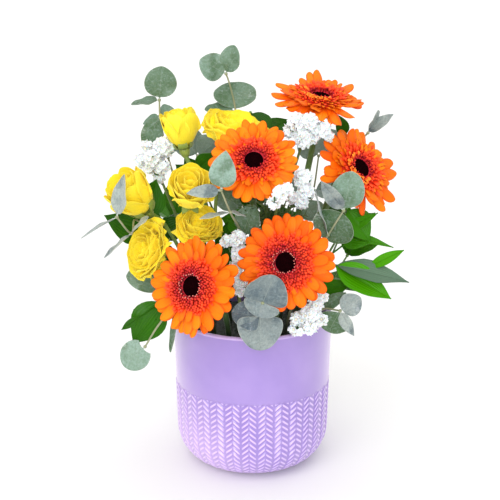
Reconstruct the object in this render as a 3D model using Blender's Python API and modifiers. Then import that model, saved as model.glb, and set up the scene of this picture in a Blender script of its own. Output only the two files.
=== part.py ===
"""Flower arrangement standing in wet floral foam inside a glazed ceramic pot.

Five gerberas, two sprays of garden roses, statice, eucalyptus and ruscus are pushed into the foam.
The tables below are in millimetres; the model itself is in metres, +Z up, with its origin in the
middle of the pot's base. -Y is the front of the arrangement.
"""
import math

import bmesh
import bpy
from mathutils import Matrix, Vector

MM = 0.001
GAP = 0.3

# ---------------------------------------------------------------- pot and foam
POT_HEIGHT = 137.0
POT_TOP_RADIUS = 70.0
POT_WAIST_RADIUS = 67.2
POT_CORNER_RADIUS = 32.0
POT_WALL = 4.6
POT_FLOOR = 6.0
POT_RIM_ROUND = 1.6
POT_STEPS = 40

FOAM_TOP = 128.0
FOAM_RADIUS = 62.5
FOAM_BOTTOM_RADIUS = 34.0
FOAM_SHOULDER = 36.0
FOAM_BACK_CUT = 50.0
FOAM_STEPS = 24
STEM_DEPTH = 44.0
STEM_APEX = -80.0
STEM_LEAD = 4.0

# ---------------------------------------------------------------- stems
GERBERA_STEM = 2.7
ROSE_STEM = 2.0
ROSE_BRANCH = 1.6
STATICE_STEM = 1.2
GREEN_STEM = 1.1
PATH_STEP = 20.0

# ---------------------------------------------------------------- flower heads
GERBERA_RAYS = 20
GERBERA_SHEET = 1.4
GERBERA_LIFT = 1.5
GERBERA_NOTCH = 0.86
GERBERA_HEART = 0.57
GERBERA_EYE = 0.18
GERBERA_NECK = 34.0
GERBERA_STEM_END = 8.0
GERBERA_CUP = ((10.0, 0.0), (11.0, -2.0), (8.5, -8.0), (4.0, -13.0), (0.0, -14.0))
GERBERA_STEPS = 12
HEART_STEPS = 16

# a bloom's outline as shares of its radius and of half its height
ROSE_CUP = ((0.0, 0.6), (0.35, 0.9), (0.75, 0.8), (1.0, 0.3), (0.94, -0.25), (0.6, -0.75))
ROSE_STEPS = 14
ROSE_SEAT_RADIUS = 4.6
ROSE_HIP = ((4.6, 0.0), (4.2, -4.0), (1.6, -8.0), (0.0, -8.4))
ROSE_BRANCH_END = 6.0
ROSE_BRANCH_OVERLAP = 3.0
SEPALS = 5
SEPAL_REACH = 0.62
SEPAL_NOTCH = 0.4
SEPAL_TOP = -1.4
SEPAL_TIP = -3.0

STATICE_BRANCH = 0.8
STATICE_OVERLAP = 2.0

LEAF_SHEET = 0.9
LEAF_CUP = 0.12
LEAF_SAG = 0.06

# name: foot in the foam (x, y), middle of the ray disc, facing, disc radius
GERBERAS = {
    "gerbera_1": ((-20, -42), (-47.5, -84, 187), (-0.50, -0.79, 0.36), 41),
    "gerbera_2": ((16, -42), (27, -80, 206), (-0.28, -0.92, 0.29), 40),
    "gerbera_3": ((-2, -22), (1, -48, 281.5), (0.00, -0.75, 0.66), 39),
    "gerbera_4": ((24, 6), (57, 5, 324), (0.11, -0.26, 0.96), 42),
    "gerbera_5": ((36, -8), (89.5, -15, 268), (0.57, -0.62, 0.55), 42),
}

# name: middle of the bloom, facing, radius, height, width ratio
ROSES = {
    "rose_1": ((-61, 2, 300), (-0.16, 0.05, 0.98), 15.5, 34, 1.0),
    "rose_2": ((-14.5, 8, 297), (0.22, -0.12, 0.97), 26.5, 34, 1.0),
    "rose_3": ((-102, -35, 252), (-0.55, -0.42, 0.72), 24, 41, 1.0),
    "rose_4": ((-50.5, -52, 260), (0.05, -0.66, 0.75), 17, 34, 1.0),
    "rose_5": ((-45, -33, 223), (0.13, -0.52, 0.84), 19, 26, 1.0),
    "rose_6": ((-87, -42, 205), (-0.68, -0.64, 0.35), 24, 32, 0.76),
}

# spray name: foot, fork, and for each bloom the bend of its branch
ROSE_SPRAYS = {
    "rose_spray_left": ((-36, -24), (-56, -22, 186), {
        "rose_3": (-76, -16, 222),
        "rose_5": (-52, -21, 197),
        "rose_6": (-62, -25, 193),
    }),
    "rose_spray_right": ((-20, -4), (-31, -8, 206), {
        "rose_1": (-48, -6, 256),
        "rose_2": (-30, 4, 250),
        "rose_4": (-60, -2, 238),
    }),
}

# stem name: foot, bends, and each bloom cluster as middle, half sizes
STATICE = {
    "statice_1": ((-38, 8), [(-56, 10, 190)], {"a": ((-86, 6, 273), (18, 14, 19))}),
    "statice_2": ((12, -6), [(24, -10, 220)], {"a": ((44.5, -23, 301), (17.5, 11, 13))}),
    "statice_3": ((8, -30), [(14, -34, 200)], {
        "a": ((41, -44, 259), (10, 9, 14)),
        "b": ((21.5, -77, 262), (10, 7, 11)),
    }),
    "statice_4": ((-8, -52), [(-10, -52, 156)], {"a": ((-14, -56, 200), (13, 8, 26))}),
    "statice_5": ((34, -38), [(40, -58, 148)], {"a": ((46, -77, 160), (15, 10, 18))}),
}

# name: foot, stem points, leaves as (stem point, reach, face, width)
EUCALYPTUS = {
    "eucalyptus_1": ((-32, 16), [(-52, 24, 200), (-74, 30, 268), (-80, 25, 306), (-80, 23, 320)], [
        (3, (3, -3, 29), (0.1, -1.0, 0.2), 28),
        (3, (-25, 4, -3), (-0.1, -0.3, 1.0), 16),
        (2, (-13, -2, -27), (-0.2, -1.0, 0.1), 19),
        (2, (14, 8, 3), (0.1, -0.5, 1.0), 22),
        (2, (-16, 6, -8), (-0.2, -1.0, 0.6), 9),
        (0, (-24, 8, 14), (-0.3, -0.2, 1.0), 26),
        (0, (14, 18, 14), (0.2, -0.2, 1.0), 26),
        (1, (-12, 24, 14), (-0.4, 0.8, 0.5), 28),
    ]),
    "eucalyptus_2": ((-6, 14), [(-8, 36, 220), (-15, 44, 307), (-20, 42, 331), (-23, 40, 340)], [
        (3, (-22, -6, 13), (0.1, -1.0, 0.3), 25),
        (3, (7, -6, 25), (-0.4, -1.0, 0.0), 19),
        (1, (-1, 14, 24), (0.0, -0.9, 0.5), 38),
        (1, (-27, -2, 3), (-0.1, -0.5, 1.0), 20),
        (0, (16, 26, 12), (0.3, 0.2, 1.0), 28),
        (0, (-24, 8, 14), (-0.3, -0.5, 1.0), 28),
    ]),
    "eucalyptus_3": ((32, 16), [(58, 28, 210), (84, 28, 268), (93, 26, 283), (100, 25, 291)], [
        (3, (9, -3, 20), (0.8, -0.5, -0.1), 14),
        (3, (20, -5, 18), (-0.5, -0.6, 0.7), 13),
        (0, (26, 6, 12), (0.3, -0.3, 1.0), 28),
        (0, (-12, 18, 16), (-0.2, -0.2, 1.0), 26),
    ]),
    "eucalyptus_4": ((28, -32), [(49, -50, 196), (62, -52, 221), (74, -54, 242)], [
        (2, (6, -4, 33), (-0.1, -1.0, 0.1), 27),
        (2, (-19, -6, 25), (-0.6, -0.6, 0.6), 20),
        (2, (-14, 4, -26), (-0.1, -1.0, 0.3), 36),
        (1, (-13, 4, 37), (-1.0, -0.1, -0.2), 22),
    ]),
    "eucalyptus_5": ((-4, -38), [(-6, -38, 190), (-9, -42, 218), (-18, -66, 244), (-25, -74, 264)], [
        (3, (4, -10, 33), (-0.1, -1.0, 0.1), 22),
        (3, (-26, -12, 1), (-0.2, -0.9, 0.6), 12),
        (2, (-24, -12, -1), (0.0, -0.7, 1.0), 16),
        (2, (13, 4, -4), (0.1, -0.6, 1.0), 14),
        (1, (10, -2, 26), (-0.3, -1.0, 0.2), 22),
    ]),
    "eucalyptus_6": ((-48, -12), [(-70, -14, 170), (-84, -8, 204), (-98, -30, 228), (-99, -58, 224),
                                  (-109, -67, 240)], [
        (4, (6, -4, 36), (-0.8, -0.7, 0.1), 18),
        (4, (-31, 4, -17), (-0.5, 0.1, 1.0), 16),
        (3, (-22, -12, -16), (-0.7, -0.1, 0.7), 16),
        (3, (14, -2, 15), (-0.7, -0.1, 0.7), 14),
        (0, (-38, -8, 6), (-0.2, -1.0, 0.4), 26),
    ]),
    "eucalyptus_7": ((-42, -34), [(-62, -46, 158), (-77, -56, 146), (-90, -60, 126)], [
        (2, (-18, -6, -15), (-0.2, -1.0, 0.3), 26),
        (0, (-9, -11, -38), (-0.8, -0.6, 0.1), 9),
    ]),
    "eucalyptus_8": ((2, -56), [(0, -74, 150), (6, -87, 163), (8, -92, 176)], [
        (2, (9, -5, 24), (0.1, -1.0, 0.1), 36),
        (2, (-4, -5, -10), (0.1, -1.0, 0.3), 30),
        (1, (0, -5, -28), (0.0, -1.0, 0.2), 37),
        (1, (-23, 3, 2), (-0.2, -1.0, 0.4), 26),
    ]),
    "eucalyptus_9": ((44, -32), [(58, -56, 158), (72, -66, 160)], [
        (1, (17, 1, 11), (0.2, -1.0, 0.2), 20),
        (1, (11, -6, -20), (-0.6, -0.8, 0.3), 11),
        (1, (-9, 2, -20), (0.1, -1.0, 0.2), 27),
        (0, (19, -1, 15), (0.1, -0.7, 0.8), 12),
    ]),
}

RUSCUS = {
    "ruscus_1": ((-50, 2), [(-66, 0, 180), (-82, -3, 206), (-88, -2, 224)], [
        (1, (-43, -17, 22), (-0.2, -1.0, 0.1), 30),
        (2, (6, -12, 34), (-0.3, -1.0, 0.1), 26),
        (1, (24, 3, 14), (0.2, -1.0, 0.4), 22),
        (0, (-30, 14, 14), (-0.3, -0.4, 1.0), 22),
        (0, (-32, 12, -16), (-0.4, -0.4, 0.8), 24),
        (1, (-18, 26, 20), (-0.6, 0.2, 0.8), 24),
    ]),
    "ruscus_2": ((-48, -24), [(-62, -36, 150), (-74, -42, 161)], [
        (1, (-28, -8, -36), (-0.3, -1.0, 0.2), 32),
        (0, (-20, -12, -4), (0.0, -0.7, 1.0), 12),
        (1, (2, -6, 34), (-0.2, -1.0, 0.2), 20),
        (1, (-35, -19, -19), (0.1, -0.9, 0.5), 7),
    ]),
    "ruscus_3": ((-12, 24), [(-26, 18, 200), (-44, 16, 248), (-47, 8, 262)], [
        (2, (15, -12, 17), (0.0, -1.0, 0.1), 18),
        (1, (-24, 20, 14), (-0.3, -0.2, 1.0), 20),
        (1, (-14, -10, 26), (0.2, -1.0, 0.0), 18),
    ]),
    "ruscus_4": ((4, 20), [(8, 32, 220), (4, 44, 285), (-2, 42, 306)], [
        (2, (20, -16, -14), (0.4, -0.8, 0.4), 18),
        (1, (30, 2, 14), (0.3, -0.8, 0.5), 18),
        (0, (-20, -2, 34), (0.1, -1.0, 0.1), 24),
    ]),
    "ruscus_5": ((48, -20), [(56, -32, 165), (66, -46, 194)], [
        (1, (50, -10, -26), (0.2, -0.8, 0.7), 26),
        (1, (65, -4, -12), (0.1, -0.5, 1.0), 24),
        (0, (24, -22, 14), (0.3, -0.9, 0.4), 16),
        (0, (68, -16, 42), (0.2, -0.9, 0.6), 10),
    ]),
    "ruscus_6": ((50, -4), [(64, -14, 190), (74, -26, 216), (78, -30, 238)], [
        (1, (24, -12, -6), (0.2, -1.0, 0.3), 22),
        (2, (20, -8, -26), (0.5, -0.9, 0.2), 26),
        (1, (44, -12, -8), (0.1, -0.5, 1.0), 10),
        (1, (29, -14, 20), (0.3, -0.9, 0.4), 10),
        (0, (30, 10, 22), (0.3, -0.4, 1.0), 20),
    ]),
    "ruscus_7": ((42, 6), [(62, 16, 210), (76, 20, 262), (80, 14, 290)], [
        (2, (-8, -6, 20), (0.2, -1.0, 0.1), 12),
        (1, (34, -2, 12), (0.2, -0.8, 0.6), 18),
        (0, (30, 22, 26), (0.2, 0.3, 1.0), 22),
        (1, (-6, 22, 26), (0.2, 0.6, 0.6), 22),
    ]),
    "ruscus_8": ((10, -16), [(8, -22, 186), (5, -29, 221)], [
        (1, (32, 6, 12), (0.1, -0.9, 0.5), 24),
        (1, (-16, -10, 18), (-0.1, -0.9, 0.5), 20),
        (0, (-12, -16, 28), (-0.2, -1.0, 0.2), 22),
        (0, (32, -2, 26), (0.2, -1.0, 0.2), 24),
        (1, (-32, 10, 6), (-0.1, -0.9, 0.4), 24),
        (0, (-30, 22, 16), (-0.1, -1.0, 0.3), 26),
    ]),
    "ruscus_9": ((-32, -34), [(-32, -38, 168), (-28, -40, 186)], [
        (1, (8, -2, 38), (0.1, -1.0, 0.2), 24),
        (0, (10, 16, 38), (0.1, -1.0, 0.1), 24),
        (1, (-16, -8, 14), (-0.1, -1.0, 0.2), 20),
        (0, (24, -12, 10), (0.2, -1.0, 0.4), 20),
    ]),
    "ruscus_10": ((51, 8), [(68, 14, 156), (84, 18, 182)], [
        (1, (28, -8, 16), (0.3, -0.4, 1.0), 24),
        (1, (16, 24, 20), (0.2, 0.2, 1.0), 24),
        (0, (26, -20, 2), (0.4, -0.3, 0.9), 24),
        (1, (-4, -8, 34), (0.8, -0.5, 0.3), 22),
    ]),
}

BACK_GREENS = {
    "eucalyptus_10": ((-22, 36), [(-34, 60, 186), (-46, 68, 234), (-50, 66, 262)], [
        (2, (-16, 4, 24), (-0.3, 1.0, 0.2), 28),
        (2, (18, 6, 14), (0.3, 1.0, 0.4), 26),
        (1, (-26, 10, 4), (-0.3, 0.9, 0.5), 30),
        (1, (22, 12, 6), (0.2, 1.0, 0.4), 30),
    ]),
    "eucalyptus_11": ((30, 36), [(44, 58, 180), (56, 68, 230), (60, 66, 262)], [
        (2, (18, 2, 22), (0.3, 1.0, 0.2), 28),
        (2, (-16, 8, 16), (-0.2, 1.0, 0.4), 26),
        (1, (28, 8, 0), (0.3, 0.9, 0.5), 30),
        (1, (-20, 14, 2), (0.0, 1.0, 0.4), 28),
    ]),
    "ruscus_11": ((-38, 28), [(-58, 44, 165), (-72, 52, 205)], [
        (1, (-32, 10, 22), (-0.3, 0.6, 0.7), 24),
        (1, (6, 10, 44), (-0.3, 1.0, 0.1), 24),
        (0, (-36, 20, -10), (-0.2, 0.8, 0.7), 26),
        (0, (4, 30, -8), (0.1, 1.0, 0.6), 24),
        (0, (-26, -18, 10), (-0.6, -0.2, 0.9), 24),
    ]),
    "ruscus_12": ((6, 42), [(8, 64, 170), (8, 78, 215)], [
        (1, (-4, 4, 52), (0.0, 1.0, 0.2), 28),
        (1, (-34, 8, 14), (-0.2, 1.0, 0.5), 26),
        (0, (-28, 24, -18), (-0.2, 0.9, 0.7), 26),
        (0, (30, 22, -16), (0.2, 0.9, 0.7), 26),
    ]),
    "ruscus_13": ((46, 22), [(64, 34, 160), (80, 42, 195)], [
        (1, (30, 6, 20), (0.4, 0.5, 0.8), 24),
        (1, (-6, 12, 42), (0.3, 1.0, 0.1), 24),
        (0, (34, 8, -12), (0.4, 0.7, 0.7), 24),
        (0, (2, 30, -12), (0.2, 1.0, 0.6), 24),
    ]),
}

# half width of a blade, as a share of its full width, along its length
ROUND_BLADE = ((0.0, 0.0), (0.14, 0.0), (0.26, 0.34), (0.52, 0.50), (0.80, 0.36), (1.0, 0.05))
LONG_BLADE = ((0.0, 0.0), (0.10, 0.0), (0.38, 0.50), (0.72, 0.34), (1.0, 0.03))
PETIOLE_HALF = 0.7


# ---------------------------------------------------------------- scene helpers
def clear_scene():
    """Start from an empty file."""
    for obj in list(bpy.data.objects):
        bpy.data.objects.remove(obj, do_unlink=True)
    for old in list(bpy.data.collections):
        bpy.data.collections.remove(old)


def make_collection(name):
    """A new collection under the scene's own."""
    made = bpy.data.collections.new(name)
    bpy.context.scene.collection.children.link(made)
    return made


def make_material(name, colour, roughness, coat=0.0):
    """A plain Principled material."""
    made = bpy.data.materials.new(name)
    made.use_nodes = True
    shader = made.node_tree.nodes["Principled BSDF"]
    shader.inputs["Base Color"].default_value = (*colour, 1.0)
    shader.inputs["Roughness"].default_value = roughness
    shader.inputs["Metallic"].default_value = 0.0
    shader.inputs["Coat Weight"].default_value = coat
    made.diffuse_color = (*colour, 1.0)
    return made


def add_object(name, data, home):
    """Link new data into a collection under a name."""
    obj = bpy.data.objects.new(name, data)
    home.objects.link(obj)
    return obj


def finish_part(obj, name, material, smooth_angle=40.0):
    """Name a finished piece, give it its material, shade it and hang it on the root."""
    obj.name = name
    obj.data.name = name
    obj.data.materials.clear()
    obj.data.materials.append(material)
    obj.data.shade_smooth()
    obj.data.set_sharp_from_angle(angle=math.radians(smooth_angle))
    obj.parent = ROOT
    return obj


def evaluated_mesh(obj):
    """The object's mesh as its modifiers leave it."""
    graph = bpy.context.evaluated_depsgraph_get()
    return bpy.data.meshes.new_from_object(obj.evaluated_get(graph))


def add_cutter(data, name="cutter"):
    """A helper solid, kept out of the model."""
    obj = add_object(name, data, CUTTERS)
    obj.hide_render = True
    obj.display_type = "WIRE"
    return obj


def combine(body, others, operation):
    """One exact Boolean of a body with several solids, applied to the body."""
    operands = bpy.data.collections.new("operands")
    for other in others:
        operands.objects.link(other)
    step = body.modifiers.new("combine", "BOOLEAN")
    step.operation = operation
    step.operand_type = "COLLECTION"
    step.collection = operands
    step.solver = "EXACT"
    result = evaluated_mesh(body)
    body.modifiers.clear()
    body.data = result
    for other in list(others):
        bpy.data.objects.remove(other, do_unlink=True)
    bpy.data.collections.remove(operands)
    return body


# ---------------------------------------------------------------- shapes
def turned_mesh(name, profile, steps):
    """Turn (radius, height) pairs, listed from the top down the outside, about Z."""
    mesh = bpy.data.meshes.new(name)
    points = [(radius * MM, 0.0, height * MM) for radius, height in profile]
    mesh.from_pydata(points, [(i, i + 1) for i in range(len(points) - 1)], [])
    holder = add_object(name, mesh, CUTTERS)
    screw = holder.modifiers.new("turn", "SCREW")
    screw.angle = math.tau
    screw.steps = steps
    screw.render_steps = steps
    screw.use_merge_vertices = True
    screw.merge_threshold = 0.00001
    result = evaluated_mesh(holder)
    bpy.data.objects.remove(holder, do_unlink=True)
    return result


def notch_every_other(mesh, slots, inner, share):
    """Draw every other outer point of a turned sheet in, to leave a star of tips."""
    for vert in mesh.vertices:
        slot = round(math.atan2(vert.co.y, vert.co.x) / math.tau * slots)
        if vert.co.xy.length > inner * 1.05 * MM and slot % 2:
            vert.co.xy *= share


def solidified(obj, thickness):
    """Thicken an open sheet evenly about its middle."""
    sheet = obj.modifiers.new("sheet", "SOLIDIFY")
    sheet.thickness = thickness * MM
    sheet.offset = 0.0
    result = evaluated_mesh(obj)
    obj.modifiers.clear()
    obj.data = result
    return obj


def arc(centre_r, centre_z, radius, start, end, count):
    """Points on an arc in the (radius, height) plane, angles in degrees from +R."""
    points = []
    for index in range(count + 1):
        angle = math.radians(start + (end - start) * index / count)
        points.append((centre_r + radius * math.cos(angle), centre_z + radius * math.sin(angle)))
    return points


def frame_facing(centre, facing):
    """A placement in metres at centre (mm) whose Z points along facing."""
    turn = Vector(facing).normalized().to_track_quat("Z", "Y").to_matrix().to_4x4()
    return Matrix.Translation(Vector(centre) * MM) @ turn


def smooth_run(points, first_tangent):
    """Sample a smooth curve through the points, leaving the first along first_tangent."""
    tangents = [first_tangent.normalized()]
    for index in range(1, len(points) - 1):
        tangents.append((points[index + 1] - points[index - 1]).normalized())
    tangents.append((points[-1] - points[-2]).normalized())
    run = [points[0]]
    for index in range(len(points) - 1):
        start = points[index]
        end = points[index + 1]
        span = (end - start).length
        pull_out = tangents[index] * span
        pull_in = tangents[index + 1] * span
        count = max(1, round(span / PATH_STEP))
        for step in range(1, count + 1):
            t = step / count
            run.append(start * (2 * t ** 3 - 3 * t ** 2 + 1) + pull_out * (t ** 3 - 2 * t ** 2 + t)
                       + end * (3 * t ** 2 - 2 * t ** 3) + pull_in * (t ** 3 - t ** 2))
    return run


def foot_points(foot):
    """Bottom and top of a stem's straight run in the foam, fanned out from one low apex."""
    surface = Vector((foot[0], foot[1], FOAM_TOP))
    upward = (surface - Vector((0.0, 0.0, STEM_APEX))).normalized()
    return surface - upward * STEM_DEPTH, surface + upward * STEM_LEAD


def stem_path(foot, points):
    """A stem from inside the foam through its bends to its end."""
    bottom, lead = foot_points(foot)
    rest = [Vector(point) for point in points]
    return [bottom] + smooth_run([lead] + rest, lead - bottom)


def tube_mesh(path, radius, resolution=1):
    """A round rod along a path, as a closed mesh with welded caps."""
    curve = bpy.data.curves.new("run", "CURVE")
    curve.dimensions = "3D"
    spline = curve.splines.new("POLY")
    spline.points.add(len(path) - 1)
    for point, place in zip(spline.points, path):
        point.co = (*(place * MM), 1.0)
    curve.bevel_depth = radius * MM
    curve.bevel_resolution = resolution
    curve.use_fill_caps = True
    holder = add_object("run", curve, CUTTERS)
    mesh = evaluated_mesh(holder)
    bpy.data.objects.remove(holder, do_unlink=True)
    bpy.data.curves.remove(curve)
    welded = bmesh.new()
    welded.from_mesh(mesh)
    bmesh.ops.remove_doubles(welded, verts=welded.verts, dist=0.00001)
    welded.to_mesh(mesh)
    welded.free()
    return mesh


def drill_foam(foot, radius, resolution=1):
    """Note the hole that a stem needs in the foam."""
    bottom, lead = foot_points(foot)
    clear = (lead - bottom).normalized() * GAP
    FOAM_HOLES.append(add_cutter(tube_mesh([bottom - clear, lead], radius + GAP, resolution)))


def leaf_object(base, reach, face, width, blade):
    """A stalk and blade from base to base + reach, its upper side towards face."""
    along = Vector(reach)
    side = Vector(face).cross(along).normalized()
    upper = along.cross(side).normalized()
    rows = len(blade) - 1
    sheet = bmesh.new()
    bmesh.ops.create_grid(sheet, x_segments=2, y_segments=rows, size=1.0)
    for vert in sheet.verts:
        share, half = blade[round((vert.co.y + 1.0) / 2.0 * rows)]
        across = vert.co.x * max(half * width, PETIOLE_HALF)
        lift = LEAF_CUP * width * (vert.co.x ** 2) * half - LEAF_SAG * along.length * share ** 2
        place = Vector(base) + along * share + side * across + upper * lift
        vert.co = place * MM
    mesh = bpy.data.meshes.new("leaf")
    sheet.to_mesh(mesh)
    sheet.free()
    return solidified(add_cutter(mesh, "leaf"), LEAF_SHEET)


# ---------------------------------------------------------------- pot and foam
def build_pot():
    """A thick-walled round pot with a broad rounded foot corner."""
    base_radius = POT_WAIST_RADIUS - POT_CORNER_RADIUS
    inner_corner = POT_CORNER_RADIUS - POT_WALL
    floor_centre = POT_FLOOR + inner_corner
    inside = [(0.0, POT_FLOOR)]
    inside += arc(base_radius, floor_centre, inner_corner, -90.0, 0.0, 3)
    inner = POT_TOP_RADIUS - POT_WALL
    shoulder = POT_HEIGHT - POT_RIM_ROUND
    rim = [(inner, shoulder), (inner + POT_RIM_ROUND, POT_HEIGHT)]
    rim += [(POT_TOP_RADIUS - POT_RIM_ROUND, POT_HEIGHT), (POT_TOP_RADIUS, shoulder)]
    outside = arc(base_radius, POT_CORNER_RADIUS, POT_CORNER_RADIUS, 0.0, -90.0, 4)
    mesh = turned_mesh("pot", inside + rim + outside + [(0.0, 0.0)], POT_STEPS)
    glaze = make_material("lilac_glaze", (0.50, 0.36, 0.80), 0.15, coat=0.6)
    finish_part(add_object("pot", mesh, PARTS), "pot", glaze)


def build_foam():
    """Wet floral foam with a hole for every stem and a watering gap cut along its back."""
    profile = [(0.0, FOAM_TOP), (FOAM_RADIUS, FOAM_TOP), (FOAM_RADIUS - 2.0, FOAM_SHOULDER)]
    profile += [(FOAM_BOTTOM_RADIUS, POT_FLOOR + GAP), (0.0, POT_FLOOR + GAP)]
    foam = add_object("floral_foam", turned_mesh("foam", profile, FOAM_STEPS), PARTS)
    block = bmesh.new()
    size = Vector((160.0, 40.0, 300.0))
    middle = Vector((0.0, FOAM_BACK_CUT + size.y / 2.0, FOAM_TOP))
    shape = Matrix.Translation(middle * MM) @ Matrix.Diagonal((*(size * MM), 1.0))
    bmesh.ops.create_cube(block, size=1.0, matrix=shape)
    mesh = bpy.data.meshes.new("back_cut")
    block.to_mesh(mesh)
    block.free()
    combine(foam, [add_cutter(mesh)] + FOAM_HOLES, "DIFFERENCE")
    finish_part(foam, "floral_foam", make_material("wet_foam", (0.03, 0.07, 0.03), 0.9))


# ---------------------------------------------------------------- gerberas
def build_gerbera(name, spec, looks):
    """Stem with its green cup, the disc of rays, and the raised heart."""
    foot, centre, facing, radius = spec
    place = frame_facing(centre, facing)
    normal = Vector(facing).normalized()
    middle = Vector(centre)
    path = stem_path(foot, [middle - normal * GERBERA_NECK, middle - normal * GERBERA_STEM_END])
    stem = add_object(name + "_stem", tube_mesh(path, GERBERA_STEM, 2), PARTS)
    top = -GERBERA_SHEET / 2.0 - GAP
    cup = [(0.0, top)] + [(across, top + height) for across, height in GERBERA_CUP]
    calyx = add_cutter(turned_mesh("calyx", cup, GERBERA_STEPS))
    calyx.matrix_world = place
    combine(stem, [calyx], "UNION")
    finish_part(stem, name + "_stem", looks["stem"])
    drill_foam(foot, GERBERA_STEM, 2)

    heart_radius = GERBERA_HEART * radius
    profile = [(0.0, 0.0), (heart_radius, 0.0), (radius, GERBERA_LIFT)]
    sheet = turned_mesh("rays", profile, 2 * GERBERA_RAYS)
    notch_every_other(sheet, 2 * GERBERA_RAYS, heart_radius, GERBERA_NOTCH)
    rays = solidified(add_object(name + "_rays", sheet, PARTS), GERBERA_SHEET)
    rays.matrix_world = place
    finish_part(rays, name + "_rays", looks["rays"])

    floor = GERBERA_SHEET / 2.0 + GAP
    eye = GERBERA_EYE * radius
    dome = [(0.0, floor + 3.0), (eye, floor + 3.4), (eye * 1.3, floor + 5.0)]
    dome += [(heart_radius * 0.7, floor + 5.4), (heart_radius, floor + 2.6)]
    dome += [(heart_radius * 0.92, floor), (0.0, floor)]
    heart = add_object(name + "_heart", turned_mesh("heart", dome, HEART_STEPS), PARTS)
    heart.matrix_world = place
    finish_part(heart, name + "_heart", looks["heart"])


def build_gerberas():
    """Every gerbera, one colour of rays."""
    looks = {
        "stem": make_material("gerbera_green", (0.20, 0.36, 0.08), 0.55),
        "rays": make_material("gerbera_orange", (0.95, 0.24, 0.01), 0.5),
        "heart": make_material("gerbera_heart", (0.55, 0.03, 0.01), 0.6),
    }
    for name, spec in GERBERAS.items():
        build_gerbera(name, spec, looks)


# ---------------------------------------------------------------- roses
def rose_seat(spec):
    """The point under a bloom where its branch ends."""
    centre, facing, _radius, height, _ratio = spec
    return Vector(centre) - Vector(facing).normalized() * (height / 2.0 + ROSE_BRANCH_END)


def build_rose_bloom(name, spec, material):
    """A closed cup of petals."""
    centre, facing, radius, height, ratio = spec
    half = height / 2.0
    cup = [(across * radius, up * half) for across, up in ROSE_CUP]
    cup += [(ROSE_SEAT_RADIUS, -half), (0.0, -half)]
    bloom = add_object(name, turned_mesh("bloom", cup, ROSE_STEPS), PARTS)
    for vert in bloom.data.vertices:
        vert.co.x *= ratio
    bloom.matrix_world = frame_facing(centre, facing)
    finish_part(bloom, name + "_bloom", material)


def sepal_solids(spec):
    """The green receptacle under a bloom and its star of sepals."""
    centre, facing, radius, height, _ratio = spec
    place = frame_facing(centre, facing)
    top = -height / 2.0 - GAP
    hip = [(0.0, top)] + [(across, top + down) for across, down in ROSE_HIP]
    receptacle = add_cutter(turned_mesh("hip", hip, 2 * SEPALS))
    receptacle.matrix_world = place
    profile = [(0.0, top + SEPAL_TOP), (SEPAL_REACH * radius, top + SEPAL_TIP)]
    star = turned_mesh("star", profile, 2 * SEPALS)
    notch_every_other(star, 2 * SEPALS, 0.0, SEPAL_NOTCH)
    sepals = solidified(add_cutter(star), LEAF_SHEET)
    sepals.matrix_world = place
    return [receptacle, sepals]


def build_rose_spray(name, spray, material):
    """One branching stem that carries several blooms."""
    foot, fork, branches = spray
    fork = Vector(fork)
    main = stem_path(foot, [fork])
    stem = add_object(name, tube_mesh(main, ROSE_STEM), PARTS)
    onward = (main[-1] - main[-2]).normalized()
    pieces = []
    for rose, bend in branches.items():
        start = fork - onward * ROSE_BRANCH_OVERLAP
        run = smooth_run([start, Vector(bend), rose_seat(ROSES[rose])], onward)
        pieces.append(add_cutter(tube_mesh(run, ROSE_BRANCH)))
        pieces += sepal_solids(ROSES[rose])
    combine(stem, pieces, "UNION")
    finish_part(stem, name, material)
    drill_foam(foot, ROSE_STEM)


def build_roses():
    """Blooms and the sprays that carry them."""
    yellow = make_material("rose_yellow", (0.98, 0.72, 0.01), 0.5)
    green = make_material("rose_green", (0.16, 0.32, 0.05), 0.5)
    for name, spec in ROSES.items():
        build_rose_bloom(name, spec, yellow)
    for name, spray in ROSE_SPRAYS.items():
        build_rose_spray(name, spray, green)


# ---------------------------------------------------------------- statice
def build_statice(name, spec, looks):
    """A thin stem whose tips stand inside domed clusters of papery flowers."""
    foot, bends, clusters = spec
    fork = Vector(bends[-1])
    main = stem_path(foot, bends)
    onward = (main[-1] - main[-2]).normalized()
    stem = add_object(name + "_stem", tube_mesh(main, STATICE_STEM), PARTS)
    pieces = []
    for label, (middle, sizes) in clusters.items():
        run = smooth_run([fork - onward * STATICE_OVERLAP, Vector(middle)], onward)
        beyond = run[:-1] + [run[-1] + (run[-1] - run[-2]).normalized() * GAP]
        pieces.append(add_cutter(tube_mesh(run, STATICE_BRANCH)))
        ball = bmesh.new()
        shape = Matrix.Translation(Vector(middle) * MM)
        shape = shape @ Matrix.Diagonal((*(Vector(sizes) * MM), 1.0))
        bmesh.ops.create_icosphere(ball, subdivisions=2, radius=1.0, matrix=shape)
        mesh = bpy.data.meshes.new("cluster")
        ball.to_mesh(mesh)
        ball.free()
        cluster = add_object(name, mesh, PARTS)
        bore = add_cutter(tube_mesh(beyond, STATICE_BRANCH + GAP))
        combine(cluster, [bore], "DIFFERENCE")
        finish_part(cluster, name + "_flowers_" + label, looks["flowers"])
    combine(stem, pieces, "UNION")
    finish_part(stem, name + "_stem", looks["stem"])
    drill_foam(foot, STATICE_STEM)


def build_statices():
    """Every stem of statice."""
    looks = {
        "stem": make_material("statice_green", (0.10, 0.20, 0.05), 0.6),
        "flowers": make_material("statice_white", (0.88, 0.86, 0.92), 0.7),
    }
    for name, spec in STATICE.items():
        build_statice(name, spec, looks)


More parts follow.
